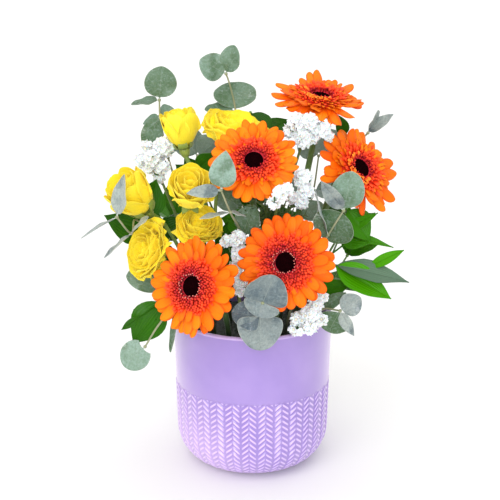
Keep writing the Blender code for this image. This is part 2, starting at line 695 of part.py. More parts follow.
# ---------------------------------------------------------------- foliage
def build_sprig(name, spec, blade, material):
    """A stem with its leaves grown on as one piece."""
    foot, points, leaves = spec
    stem = add_object(name, tube_mesh(stem_path(foot, points), GREEN_STEM), PARTS)
    blades = []
    for index, reach, face, width in leaves:
        blades.append(leaf_object(points[index], reach, face, width, blade))
    combine(stem, blades, "UNION")
    finish_part(stem, name, material)
    drill_foam(foot, GREEN_STEM)


def build_foliage():
    """Eucalyptus with round leaves and ruscus with long ones."""
    grey = make_material("eucalyptus_grey", (0.24, 0.38, 0.30), 0.6)
    green = make_material("ruscus_green", (0.06, 0.22, 0.03), 0.35)
    for name, spec in {**EUCALYPTUS, **RUSCUS, **BACK_GREENS}.items():
        is_round = name.startswith("eucalyptus")
        blade = ROUND_BLADE if is_round else LONG_BLADE
        build_sprig(name, spec, blade, grey if is_round else green)


clear_scene()
PARTS = make_collection("flower_arrangement")
CUTTERS = make_collection("cutters")
FOAM_HOLES = []
ROOT = add_object("arrangement_root", None, PARTS)
build_pot()
build_gerberas()
build_roses()
build_statices()
build_foliage()
build_foam()
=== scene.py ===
"""Florist's arrangement of gerberas, garden roses, statice and foliage in a glazed ceramic pot.

Laid out as an add-on: settings, one operator for each group of pieces, one for the stage, and a
sidebar panel. The tables are in millimetres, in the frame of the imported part; -Y is the front.
"""
import math

import bmesh
import bpy
import numpy as np
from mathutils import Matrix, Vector


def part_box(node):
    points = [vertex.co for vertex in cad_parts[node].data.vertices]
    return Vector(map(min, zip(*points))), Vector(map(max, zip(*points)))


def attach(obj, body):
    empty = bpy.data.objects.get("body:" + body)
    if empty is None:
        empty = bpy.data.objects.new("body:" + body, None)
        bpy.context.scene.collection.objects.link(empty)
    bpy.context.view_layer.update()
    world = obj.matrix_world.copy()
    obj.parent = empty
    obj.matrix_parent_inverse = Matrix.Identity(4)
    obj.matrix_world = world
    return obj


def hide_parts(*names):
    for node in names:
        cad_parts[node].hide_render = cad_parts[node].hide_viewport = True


bl_info = {
    "name": "Gerbera Arrangement",
    "version": (1, 0, 0),
    "blender": (4, 5, 0),
    "location": "3D View > Sidebar > Arrangement",
    "description": "Builds a florist's arrangement of gerberas, roses and foliage in a glazed pot",
    "category": "Add Mesh",
}

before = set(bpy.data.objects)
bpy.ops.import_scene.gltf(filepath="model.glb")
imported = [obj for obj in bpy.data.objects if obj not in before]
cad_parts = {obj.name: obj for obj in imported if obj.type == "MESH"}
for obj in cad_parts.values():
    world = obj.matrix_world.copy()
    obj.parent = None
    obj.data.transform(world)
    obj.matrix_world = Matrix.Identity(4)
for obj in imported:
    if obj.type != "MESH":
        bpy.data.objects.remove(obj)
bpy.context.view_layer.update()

MM = 0.001
# the turn from one floret, petal or bract to the next, and about the length of a step along a curve in mm
GOLDEN = math.pi * (3.0 - math.sqrt(5.0))
RUN_STEP = 5.0

# ---------------------------------------------------------------- where everything grows (mm)
# the foam's top, and how every stem enters it: depth, the point its line comes from, straight length above
FOAM_TOP = 128.0
STEM_DEPTH = 44.0
STEM_APEX = -80.0
STEM_LEAD = 4.0

# foot in the foam (x, y), middle of the ray disc, facing, disc radius,
# unruliness of the rays, warmth, cupping
GERBERAS = {
    "gerbera_1": ((-20, -42), (-47.5, -84, 187), (-0.50, -0.79, 0.36), 41, 0.60, 0.6, 0.0),
    "gerbera_2": ((16, -42), (27, -80, 206), (-0.28, -0.92, 0.29), 40, 0.45, 0.25, 0.0),
    "gerbera_3": ((-2, -22), (1, -48, 281.5), (0.00, -0.75, 0.66), 39, 0.85, 0.75, 0.0),
    "gerbera_4": ((24, 6), (57, 5, 324), (0.11, -0.26, 0.96), 42, 1.3, 0.45, 0.05),
    "gerbera_5": ((36, -8), (89.5, -15, 268), (0.57, -0.62, 0.55), 42, 1.2, 0.35, 0.06),
}

# middle of the bloom, facing, radius, height, width ratio, petals,
# how open, how hollow, how high the outer petals stand
ROSES = {
    "rose_1": ((-61, 2, 300), (-0.16, 0.05, 0.98), 14.6, 35, 1.0, 26, 0.15, 0.0, 0.90),
    "rose_2": ((-14.5, 8, 297), (0.22, -0.12, 0.97), 27.5, 34, 1.0, 28, 0.45, 0.1, 0.40),
    "rose_3": ((-102, -35, 252), (-0.55, -0.42, 0.72), 25.5, 46, 1.0, 20, 0.0, 0.20, 0.62),
    "rose_4": ((-50.5, -52, 260), (0.05, -0.66, 0.75), 17, 40, 1.0, 30, 0.45, 0.1, 0.45),
    "rose_5": ((-45, -33, 223), (0.13, -0.52, 0.84), 19, 26, 1.0, 34, 0.85, 0.1, 0.36),
    "rose_6": ((-87, -42, 205), (-0.68, -0.64, 0.35), 24, 32, 0.76, 40, 0.8, 0.05, 0.36),
}

# foot, fork, and for each bloom the bend of its branch
ROSE_SPRAYS = {
    "rose_spray_left": ((-36, -24), (-56, -22, 186), {
        "rose_3": (-76, -16, 222),
        "rose_5": (-52, -21, 197),
        "rose_6": (-62, -25, 193),
    }),
    "rose_spray_right": ((-20, -4), (-31, -8, 206), {
        "rose_1": (-48, -6, 256),
        "rose_2": (-30, 4, 250),
        "rose_4": (-60, -2, 238),
    }),
}

# foot, bends, and each flower cluster as middle, lobes (middle, radius), floret size, share with specks
STATICE = {
    "statice_1": ((-38, 8), [(-56, 10, 190)], {"a": ((-86, 6, 273), (
        ((-76, 4, 283), 9.0), ((-85, 0, 274), 7.5), ((-87, 3, 265), 5.4), ((-77, 0, 266), 6.2),
        ((-80, 4, 256), 4.4), ((-96, 8, 270), 6.0), ((-90, 9, 281), 6.2), ((-82, 14, 276), 8.0),
    ), 1.05, 0.1)}),
    "statice_2": ((12, -6), [(24, -10, 220)], {"a": ((44, -23, 302), (
        ((38, -24, 308), 8.6), ((42, -28, 296), 7.4), ((56, -25, 305), 8.6), ((63, -24, 298), 4.2),
        ((31, -22, 302), 6.0), ((47, -30, 311), 7.0), ((49, -16, 301), 8.0), ((50, -26, 297), 4.6),
    ), 1.05, 0.1)}),
    "statice_3": ((8, -30), [(14, -34, 200)], {
        "a": ((41, -44, 259), (
            ((41, -46, 267), 7.6), ((43, -48, 256), 7.0), ((40, -50, 248), 5.4), ((33, -48, 251), 4.2),
        ), 1.0, 0.1),
        "b": ((21.5, -77, 262), (
            ((22, -78, 262), 6.6), ((17, -78, 255), 5.0), ((27, -77, 266), 4.8),
        ), 1.0, 0.1),
    }),
    "statice_4": ((-8, -52), [(-10, -52, 156)], {"a": ((-14, -56, 200), (
        ((-12, -57, 219), 7.0), ((-21, -56, 217), 4.8), ((-10, -58, 206), 7.6), ((-14, -58, 195), 5.6),
        ((-10, -58, 184), 7.0), ((-11, -58, 175), 4.2),
    ), 0.95, 0.3)}),
    "statice_5": ((34, -38), [(40, -58, 148)], {"a": ((46, -77, 160), (
        ((52, -78, 172), 6.6), ((57, -76, 175), 4.2), ((47, -79, 163), 8.2), ((37, -78, 157), 6.2),
        ((36, -79, 149), 5.8), ((46, -80, 151), 6.6), ((56, -78, 156), 4.8),
    ), 0.95, 0.5)}),
}

# foot, stem points, leaves as (stem point, reach, face, width)
EUCALYPTUS = {
    "eucalyptus_1": ((-32, 16), [(-52, 24, 200), (-74, 30, 268), (-80, 25, 306), (-80, 23, 320)], [
        (3, (3, -3, 29), (0.1, -1.0, 0.2), 28), (3, (-25, 4, -3), (-0.1, -0.3, 1.0), 16),
        (2, (-13, -2, -27), (-0.2, -1.0, 0.1), 19), (2, (14, 8, 3), (0.1, -0.5, 1.0), 22),
        (2, (-16, 6, -8), (-0.2, -1.0, 0.6), 9), (0, (-24, 8, 14), (-0.3, -0.2, 1.0), 26),
        (0, (14, 18, 14), (0.2, -0.2, 1.0), 26), (1, (-12, 24, 14), (-0.4, 0.8, 0.5), 28),
    ]),
    "eucalyptus_2": ((-6, 14), [(-8, 36, 220), (-15, 44, 307), (-20, 42, 331), (-23, 40, 340)], [
        (3, (-22, -6, 13), (0.1, -1.0, 0.3), 25), (3, (7, -6, 25), (-0.4, -1.0, 0.0), 19),
        (1, (-1, 14, 24), (0.0, -0.9, 0.5), 38), (1, (-27, -2, 3), (-0.1, -0.5, 1.0), 20),
        (0, (16, 26, 12), (0.3, 0.2, 1.0), 28), (0, (-24, 8, 14), (-0.3, -0.5, 1.0), 28),
    ]),
    "eucalyptus_3": ((32, 16), [(58, 28, 210), (84, 28, 268), (93, 26, 283), (100, 25, 291)], [
        (3, (9, -3, 20), (0.8, -0.5, -0.1), 14), (3, (20, -5, 18), (-0.5, -0.6, 0.7), 13),
        (0, (26, 6, 12), (0.3, -0.3, 1.0), 28), (0, (-12, 18, 16), (-0.2, -0.2, 1.0), 26),
    ]),
    "eucalyptus_4": ((28, -32), [(49, -50, 196), (62, -52, 221), (74, -54, 242)], [
        (2, (6, -4, 33), (-0.1, -1.0, 0.1), 27), (2, (-19, -6, 25), (-0.6, -0.6, 0.6), 14),
        (2, (-14, 4, -26), (-0.1, -1.0, 0.3), 36), (1, (-13, 4, 37), (-1.0, -0.1, -0.2), 22),
    ]),
    "eucalyptus_5": ((-4, -38), [(-6, -38, 190), (-9, -42, 218), (-18, -66, 244), (-25, -74, 264)], [
        (3, (4, -10, 33), (-0.1, -1.0, 0.1), 22), (3, (-26, -12, 1), (-0.2, -0.9, 0.6), 12),
        (2, (-24, -12, -1), (0.0, 0.05, 1.0), 14), (2, (13, 4, -4), (0.1, 0.0, 1.0), 12),
        (1, (10, -2, 26), (-0.3, -1.0, 0.2), 22),
    ]),
    "eucalyptus_6": ((-48, -12), [(-70, -14, 170), (-84, -8, 204), (-98, -30, 228), (-99, -58, 224),
                                  (-109, -67, 240)], [
        (4, (6, -4, 36), (-0.8, -0.7, 0.1), 18), (4, (-31, 4, -17), (-0.5, 0.1, 1.0), 16),
        (3, (-22, -12, -16), (-0.7, -0.1, 0.7), 16), (3, (14, -2, 15), (-0.7, -0.1, 0.7), 14),
        (0, (-38, -8, 6), (-0.2, -1.0, 0.4), 26),
    ]),
    "eucalyptus_7": ((-42, -34), [(-62, -46, 158), (-77, -56, 146), (-90, -60, 126)], [
        (2, (-18, -6, -15), (-0.2, -1.0, 0.3), 26), (0, (-9, -11, -38), (-0.8, -0.6, 0.1), 9),
    ]),
    "eucalyptus_8": ((2, -56), [(0, -74, 150), (6, -87, 163), (8, -92, 176)], [
        (2, (9, -5, 24), (0.1, -1.0, 0.1), 36), (2, (-4, -5, -10), (0.1, -1.0, 0.3), 30),
        (1, (0, -5, -28), (0.0, -1.0, 0.2), 37), (1, (-23, 3, 2), (-0.2, -1.0, 0.4), 26),
    ]),
    "eucalyptus_9": ((44, -32), [(58, -56, 158), (72, -66, 160)], [
        (1, (17, 1, 11), (0.2, -1.0, 0.2), 20), (1, (11, -6, -20), (-0.6, -0.8, 0.3), 11),
        (1, (-9, 2, -20), (0.1, -1.0, 0.2), 27), (0, (19, -1, 15), (0.1, -0.7, 0.8), 12),
    ]),
    "eucalyptus_10": ((-22, 36), [(-34, 60, 186), (-46, 68, 234), (-50, 66, 262)], [
        (2, (-16, 4, 24), (-0.3, 1.0, 0.2), 28), (2, (18, 6, 14), (0.3, 1.0, 0.4), 26),
        (1, (-26, 10, 4), (-0.3, 0.9, 0.5), 30), (1, (22, 12, 6), (0.2, 1.0, 0.4), 30),
    ]),
    "eucalyptus_11": ((30, 36), [(44, 58, 180), (56, 68, 230), (60, 66, 262)], [
        (2, (18, 2, 22), (0.3, 1.0, 0.2), 28), (2, (-16, 8, 16), (-0.2, 1.0, 0.4), 26),
        (1, (28, 8, 0), (0.3, 0.9, 0.5), 30), (1, (-20, 14, 2), (0.0, 1.0, 0.4), 28),
    ]),
}

RUSCUS = {
    "ruscus_1": ((-50, 2), [(-66, 0, 180), (-82, -3, 206), (-88, -2, 224)], [
        (1, (-43, -17, 22), (-0.2, -1.0, 0.1), 30), (2, (6, -12, 34), (-0.3, -1.0, 0.1), 26),
        (1, (24, 3, 14), (0.2, -1.0, 0.4), 22), (0, (-30, 14, 14), (-0.3, -0.4, 1.0), 22),
        (0, (-32, 12, -16), (-0.4, -0.4, 0.8), 24), (1, (-18, 26, 20), (-0.6, 0.2, 0.8), 24),
    ]),
    "ruscus_2": ((-48, -24), [(-62, -36, 150), (-74, -42, 161)], [
        (1, (-28, -8, -36), (-0.3, -1.0, 0.2), 32), (0, (-20, -12, -4), (0.0, -0.7, 1.0), 12),
        (1, (20, 4, 46), (-0.2, -1.0, 0.2), 22), (1, (-35, -19, -19), (0.1, -0.9, 0.5), 7),
    ]),
    "ruscus_3": ((-12, 24), [(-26, 18, 200), (-44, 16, 248), (-47, 8, 262)], [
        (2, (15, -12, 17), (0.0, -1.0, 0.1), 18), (1, (-24, 20, 14), (-0.3, -0.2, 1.0), 20),
        (1, (-14, -10, 26), (0.2, -1.0, 0.0), 18),
    ]),
    "ruscus_4": ((4, 20), [(8, 32, 220), (4, 44, 285), (-2, 42, 306)], [
        (2, (20, -16, -14), (0.4, -0.8, 0.4), 18), (1, (30, 2, 14), (0.3, -0.8, 0.5), 18),
        (0, (-20, -2, 34), (0.1, -1.0, 0.1), 24),
    ]),
    "ruscus_5": ((48, -20), [(56, -32, 165), (66, -46, 194)], [
        (1, (50, -10, -26), (0.2, -0.8, 0.7), 26), (1, (65, -4, -12), (0.1, -0.5, 1.0), 24),
        (0, (24, -22, 14), (0.3, -0.9, 0.4), 16), (0, (68, -16, 42), (0.2, -0.9, 0.6), 10),
    ]),
    "ruscus_6": ((50, -4), [(64, -14, 190), (74, -26, 216), (78, -30, 238)], [
        (1, (24, -12, -6), (0.2, -1.0, 0.3), 22), (2, (20, -8, -26), (0.5, -0.9, 0.2), 26),
        (1, (44, -12, -8), (0.1, -0.5, 1.0), 10), (1, (29, -14, 20), (0.3, -0.9, 0.4), 10),
        (0, (30, 10, 22), (0.3, -0.4, 1.0), 20),
    ]),
    "ruscus_7": ((42, 6), [(62, 16, 210), (76, 20, 262), (80, 14, 290)], [
        (2, (-8, -6, 20), (0.2, -1.0, 0.1), 12), (1, (34, -2, 12), (0.2, -0.8, 0.6), 18),
        (0, (30, 22, 26), (0.2, 0.3, 1.0), 22), (1, (-6, 22, 26), (0.2, 0.6, 0.6), 22),
    ]),
    "ruscus_8": ((10, -16), [(8, -22, 186), (5, -29, 221)], [
        (1, (32, 6, 12), (0.1, -0.9, 0.5), 24), (1, (-16, -10, 18), (-0.1, -0.9, 0.5), 20),
        (0, (-12, -16, 28), (-0.2, -1.0, 0.2), 22), (0, (32, -2, 26), (0.2, -1.0, 0.2), 24),
        (1, (-32, 10, 6), (-0.1, -0.9, 0.4), 24), (0, (-30, 22, 16), (-0.1, -1.0, 0.3), 26),
    ]),
    "ruscus_9": ((-32, -34), [(-32, -38, 168), (-28, -40, 186)], [
        (1, (17, 23, 46), (0.1, -1.0, 0.2), 24), (0, (10, 16, 38), (0.1, -1.0, 0.1), 24),
        (1, (-16, -8, 14), (-0.1, -1.0, 0.2), 20), (0, (24, -12, 10), (0.2, -1.0, 0.4), 20),
    ]),
    "ruscus_10": ((51, 8), [(68, 14, 156), (84, 18, 182)], [
        (1, (28, -8, 16), (0.3, -0.4, 1.0), 24), (1, (16, 24, 20), (0.2, 0.2, 1.0), 24),
        (0, (26, -20, 2), (0.4, -0.3, 0.9), 24), (1, (-4, -8, 34), (0.8, -0.5, 0.3), 22),
    ]),
    "ruscus_11": ((-38, 28), [(-58, 44, 165), (-72, 52, 205)], [
        (1, (-32, 10, 22), (-0.3, 0.6, 0.7), 24), (1, (6, 10, 44), (-0.3, 1.0, 0.1), 24),
        (0, (-36, 20, -10), (-0.2, 0.8, 0.7), 26), (0, (4, 30, -8), (0.1, 1.0, 0.6), 24),
        (0, (-26, -18, 10), (-0.6, -0.2, 0.9), 24),
    ]),
    "ruscus_12": ((6, 42), [(8, 64, 170), (8, 78, 215)], [
        (1, (-4, 4, 52), (0.0, 1.0, 0.2), 28), (1, (-34, 8, 14), (-0.2, 1.0, 0.5), 26),
        (0, (-28, 24, -18), (-0.2, 0.9, 0.7), 26), (0, (30, 22, -16), (0.2, 0.9, 0.7), 26),
    ]),
    "ruscus_13": ((46, 22), [(64, 34, 160), (80, 42, 195)], [
        (1, (30, 6, 20), (0.4, 0.5, 0.8), 24), (1, (-6, 12, 42), (0.3, 1.0, 0.1), 24),
        (0, (34, 8, -12), (0.4, 0.7, 0.7), 24), (0, (2, 30, -12), (0.2, 1.0, 0.6), 24),
    ]),
}


# ---------------------------------------------------------------- settings
def length(name, note, default):
    """A length setting in metres."""
    return bpy.props.FloatProperty(
        name=name, description=note, default=default, min=0.0, unit="LENGTH", precision=5
    )


def colour(name, note, default):
    """A colour setting."""
    return bpy.props.FloatVectorProperty(
        name=name, description=note, default=default, size=3, min=0.0, max=1.0, subtype="COLOR"
    )


def amount(name, note, default, least):
    """A setting that counts things."""
    return bpy.props.IntProperty(name=name, description=note, default=default, min=least)


def brightness(name, note, default):
    """A strength setting of a light."""
    return bpy.props.FloatProperty(name=name, description=note, default=default, min=0.0)


class PotSettings(bpy.types.PropertyGroup):
    """Sizes and glaze of the pot."""

    chevrons: amount("Chevrons", "Pairs of slanting ribs round the pot", 30, 8)
    rib_pitch: length("Rib Pitch", "Spacing of the ribs up the wall", 0.005)
    rib_height: length("Rib Height", "How far a rib stands above the hollow beside it", 0.0011)
    relief_top: length("Relief Top", "Height at which the ribs stop", 0.076)
    glaze: colour("Glaze", "Colour of the glaze on the plain wall", (0.285, 0.192, 0.535))
    glaze_thin: colour("Thin Glaze", "Colour where the glaze thins on the ribs", (0.66, 0.49, 0.85))
    glaze_deep: colour("Deep Glaze", "Colour where the glaze pools", (0.265, 0.178, 0.53))


class GerberaSettings(bpy.types.PropertyGroup):
    """Rays and florets of the gerberas."""

    rays: amount("Rays", "Rays in the outer row of each flower", 23, 8)
    florets: amount("Florets", "Short florets between rays and eye", 460, 20)
    ray: colour("Ray", "Colour of the rays", (0.88, 0.120, 0.0005))
    ray_base: colour("Ray Base", "Colour of the rays near the florets", (0.78, 0.040, 0.001))
    floret: colour("Floret", "Colour of the florets", (0.76, 0.026, 0.004))
    floret_tip: colour("Floret Tip", "Colour of the floret tips", (0.97, 0.092, 0.020))
    eye: colour("Eye", "Colour of the eye", (0.004, 0.0003, 0.0007))
    green: colour("Green", "Colour of stem and bracts", (0.065, 0.16, 0.030))


class RoseSettings(bpy.types.PropertyGroup):
    """Colours of the roses."""

    petal: colour("Petal", "Colour of the petals", (0.99, 0.785, 0.032))
    petal_deep: colour("Petal Base", "Colour deep between the petals", (1.0, 0.79, 0.016))
    petal_edge: colour("Petal Edge", "Colour of the petal edges", (1.0, 0.82, 0.07))
    green: colour("Green", "Colour of stems and sepals", (0.17, 0.30, 0.05))


class StaticeSettings(bpy.types.PropertyGroup):
    """Size and colours of the statice."""

    floret: length("Floret", "Radius of a papery floret", 0.0033)
    paper: colour("Paper", "Colour of the papery florets", (0.93, 0.93, 0.92))
    green: colour("Green", "Colour of stems and bracts", (0.06, 0.14, 0.035))


class FoliageSettings(bpy.types.PropertyGroup):
    """Leaves of the two kinds of foliage."""

    blade: length("Blade", "Thickness of a leaf", 0.0006)
    grey: colour("Grey", "Colour of a pale waxy leaf", (0.43, 0.48, 0.43))
    grey_deep: colour("Deep Grey", "Colour of a dull waxy leaf", (0.045, 0.080, 0.105))
    green: colour("Green", "Colour of a pale green leaf", (0.295, 0.435, 0.365))
    # the deep green is also the painted shade that darkens inner eucalyptus leaves
    green_deep: colour("Deep Green", "Colour of a leaf with its wax rubbed off", (0.045, 0.105, 0.030))
    frost: colour("Frost", "Colour where the wax lies thickest", (0.40, 0.50, 0.51))
    shoot: colour("Shoot", "Colour of the eucalyptus shoots", (0.36, 0.36, 0.24))
    ruscus: colour("Ruscus", "Colour of the ruscus leaf", (0.060, 0.300, 0.0004))
    # the dark ruscus colour is also painted shade for sprigs behind and under the flowers
    ruscus_dark: colour("Dark Ruscus", "Colour of older ruscus leaves", (0.010, 0.052, 0.004))


class StageSettings(bpy.types.PropertyGroup):
    """Floor and light."""

    floor: colour("Floor", "Colour of the floor", (0.905, 0.90, 0.885))
    key: brightness("Key Light", "Strength of the main light", 1.12)
    fill: brightness("Fill Light", "Strength of the second light", 1.25)
    top: brightness("Top Light", "Strength of the light from above", 1.0)
    sky: brightness("Sky", "Strength of the even light from all round", 0.66)


def tuned(settings, name):
    """A length setting in millimetres."""
    return getattr(settings, name) / MM


# ---------------------------------------------------------------- shapes
class Shape:
    """Points in mm with quads, triangles, a UV for each point, and 1 where a point is on a back."""

    def __init__(self, points, quads, uv, triangles=None, back=None):
        self.points = points
        self.quads = quads
        self.uv = uv
        self.triangles = np.zeros((0, 3), int) if triangles is None else triangles
        self.back = np.zeros(len(points)) if back is None else back

    def moved(self, matrix):
        """The same shape put in place by a 4 x 4 matrix."""
        points = self.points @ matrix[:3, :3].T + matrix[:3, 3]
        return Shape(points, self.quads, self.uv, self.triangles, self.back)


class Gather:
    """Collects many small closed shapes into one mesh object."""

    def __init__(self):
        self.shapes = []
        self.marks = []

    def add(self, shape, slot=0, tint=0.5):
        """Take a shape, the material slot it uses and a tint from 0 to 1, or one for each point."""
        self.shapes.append(shape)
        self.marks.append((slot, np.broadcast_to(np.asarray(tint, float), len(shape.points))))

    def build(self, name, materials, sharp=60.0):
        """Make the object and give it its materials."""
        faces, slots = [], []
        start = 0
        for shape, (slot, _tint) in zip(self.shapes, self.marks):
            faces += (shape.quads + start).tolist() + (shape.triangles + start).tolist()
            slots.append(np.full(len(shape.quads) + len(shape.triangles), slot))
            start += len(shape.points)
        mesh = bpy.data.meshes.new(name)
        points = np.concatenate([shape.points for shape in self.shapes]) * MM
        mesh.from_pydata(points.tolist(), [], faces)
        corner = np.zeros(len(mesh.loops), int)
        mesh.loops.foreach_get("vertex_index", corner)
        uv = np.concatenate([shape.uv for shape in self.shapes])
        layer = mesh.uv_layers.new(name="Growth")
        layer.uv.foreach_set("vector", uv[corner].astype(np.float32).ravel())
        for label, values in (
            ("tint", np.concatenate([tint for _slot, tint in self.marks])),
            ("back", np.concatenate([shape.back for shape in self.shapes])),
        ):
            mark = mesh.attributes.new(label, "FLOAT", "POINT")
            mark.data.foreach_set("value", values.astype(np.float32))
        mesh.polygons.foreach_set("material_index", np.concatenate(slots).astype(np.int32))
        for material in materials:
            mesh.materials.append(material)
        mesh.shade_smooth()
        mesh.set_sharp_from_angle(angle=math.radians(sharp))
        return place_piece(name, mesh)


def place_piece(name, mesh):
    """Link a mesh into the scene as a piece."""
    piece = bpy.data.objects.new(name, mesh)
    bpy.context.scene.collection.objects.link(piece)
    return piece


def stand_for(piece, slot, *nodes):
    """The piece takes the place of CAD nodes and rides on the root; its slot is not used."""
    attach(piece, "root")
    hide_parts(*nodes)


def ease(value):
    """A smooth step from 0 to 1."""
    value = np.clip(value, 0.0, 1.0)
    return value * value * (3.0 - 2.0 * value)


def skin(rings):
    """A closed shape through rings of points, counter-clockwise about the way they run."""
    count, sides = rings.shape[:2]
    points = np.concatenate([rings.reshape(-1, 3), rings[0].mean(0)[None], rings[-1].mean(0)[None]])
    index = np.arange(count * sides).reshape(count, sides)
    onward = np.roll(index, -1, axis=1)
    quads = np.stack([index[:-1], onward[:-1], onward[1:], index[1:]], -1).reshape(-1, 4)
    low = np.full(sides, count * sides)
    caps = [np.stack([onward[0], index[0], low], -1), np.stack([index[-1], onward[-1], low + 1], -1)]
    heights = np.linspace(0.0, 1.0, count)
    across = np.abs(np.linspace(-1.0, 1.0, sides, endpoint=False))
    uv = np.stack(np.broadcast_arrays(across[None, :], heights[:, None]), -1).reshape(-1, 2)
    uv = np.concatenate([uv, [[0.5, 0.0], [0.5, 1.0]]])
    return Shape(points, quads, uv, np.concatenate(caps))


def turned(profile, sides):
    """A closed turned shape from (radius, height) pairs, bottom to top on the outside."""
    profile = np.array(profile, float)
    angle = np.linspace(0.0, math.tau, sides, endpoint=False)
    rings = np.zeros((len(profile), sides, 3))
    radius = profile[:, 0][:, None]
    rings[..., 0] = radius * np.cos(angle)
    rings[..., 1] = radius * np.sin(angle)
    rings[..., 2] = profile[:, 1][:, None]
    return skin(rings)


def sheet(grid, thickness, edge=0.5):
    """A thin closed sheet about a grid of points, thinner round its border."""
    rows, cols = grid.shape[:2]
    normal = np.cross(np.gradient(grid, axis=1), np.gradient(grid, axis=0))
    normal /= np.linalg.norm(normal, axis=2, keepdims=True) + 1e-9
    depth = np.full((rows, cols, 1), thickness * 0.5)
    depth[[0, -1]] *= edge
    depth[:, [0, -1]] *= edge
    points = np.concatenate([(grid + normal * depth).reshape(-1, 3), (grid - normal * depth).reshape(-1, 3)])
    total = rows * cols
    index = np.arange(total).reshape(rows, cols)
    upper = np.stack([index[:-1, :-1], index[:-1, 1:], index[1:, 1:], index[1:, :-1]], -1).reshape(-1, 4)
    border = np.concatenate([index[0], index[1:, -1], index[-1, -2::-1], index[-2:0:-1, 0]])
    onward = np.roll(border, -1)
    rim = np.stack([onward, border, border + total, onward + total], -1)
    quads = np.concatenate([upper, upper[:, ::-1] + total, rim])
    across, along = np.meshgrid(np.linspace(0, 1, cols), np.linspace(0, 1, rows))
    uv = np.tile(np.stack([across, along], -1).reshape(-1, 2), (2, 1))
    return Shape(points, quads, uv, back=np.repeat([1.0, 0.0], total))


def unit(vector):
    """A vector of length 1."""
    vector = np.asarray(vector, float)
    return vector / (np.linalg.norm(vector) + 1e-12)


def facing_matrix(centre, facing):
    """A placement in mm at centre whose Z points along facing."""
    matrix = np.eye(4)
    turn = Vector(facing).normalized().to_track_quat("Z", "Y").to_matrix()
    matrix[:3, :3] = np.array(turn)
    matrix[:3, 3] = centre
    return matrix


def polar(radius, angle, level):
    """The point at a radius and an angle round the Z axis."""
    return radius * math.cos(angle), radius * math.sin(angle), level


def spin_matrix(angle, tilt=0.0, place=(0.0, 0.0, 0.0)):
    """Tip +Z by tilt towards +X, turn about Z by angle and move."""
    cosine, sine = math.cos(angle), math.sin(angle)
    tip_cosine, tip_sine = math.cos(tilt), math.sin(tilt)
    tip = np.array([[tip_cosine, 0, tip_sine], [0, 1.0, 0], [-tip_sine, 0, tip_cosine]])
    matrix = np.eye(4)
    matrix[:3, :3] = np.array([[cosine, -sine, 0], [sine, cosine, 0], [0, 0, 1.0]]) @ tip
    matrix[:3, 3] = place
    return matrix


def smooth_run(points, first_tangent):
    """Sample a smooth curve through the points, leaving the first along first_tangent."""
    points = [np.asarray(point, float) for point in points]
    tangents = [unit(first_tangent)]
    for index in range(1, len(points) - 1):
        tangents.append(unit(points[index + 1] - points[index - 1]))
    tangents.append(unit(points[-1] - points[-2]))
    run = [points[0]]
    for index in range(len(points) - 1):
        start, end = points[index], points[index + 1]
        span = np.linalg.norm(end - start)
        pull_out, pull_in = tangents[index] * span, tangents[index + 1] * span
        for share in np.linspace(0.0, 1.0, max(1, round(span / RUN_STEP)) + 1)[1:]:
            square, cube = share ** 2, share ** 3
            run.append(start * (2 * cube - 3 * square + 1) + pull_out * (cube - 2 * square + share)
                       + end * (3 * square - 2 * cube) + pull_in * (cube - square))
    return run


def stem_path(foot, points):
    """A stem from inside the foam, straight out of it, then through its bends."""
    surface = np.array([foot[0], foot[1], FOAM_TOP])
    upward = unit(surface - np.array([0.0, 0.0, STEM_APEX]))
    lead = surface + upward * STEM_LEAD
    return [surface - upward * STEM_DEPTH] + smooth_run([lead] + list(points), upward)


def tube(path, radii, sides=8, ripple=None):
    """A closed round rod along a path, its rings carried along without twisting."""
    path = np.asarray(path, float)
    radii = np.broadcast_to(np.asarray(radii, float), len(path))
    tangents = np.gradient(path, axis=0)
    tangents /= np.linalg.norm(tangents, axis=1, keepdims=True) + 1e-12
    side = unit(np.cross(tangents[0], (0.3, 0.9, 0.2)))
    angle = np.linspace(0.0, math.tau, sides, endpoint=False)
    shape = 1.0 if ripple is None else ripple(angle)[:, None]
    rings = np.zeros((len(path), sides, 3))
    for index, tangent in enumerate(tangents):
        side = unit(side - tangent * side.dot(tangent))
        other = np.cross(tangent, side)
        circle = np.cos(angle)[:, None] * side + np.sin(angle)[:, None] * other
        rings[index] = path[index] + circle * radii[index] * shape
    return skin(rings)


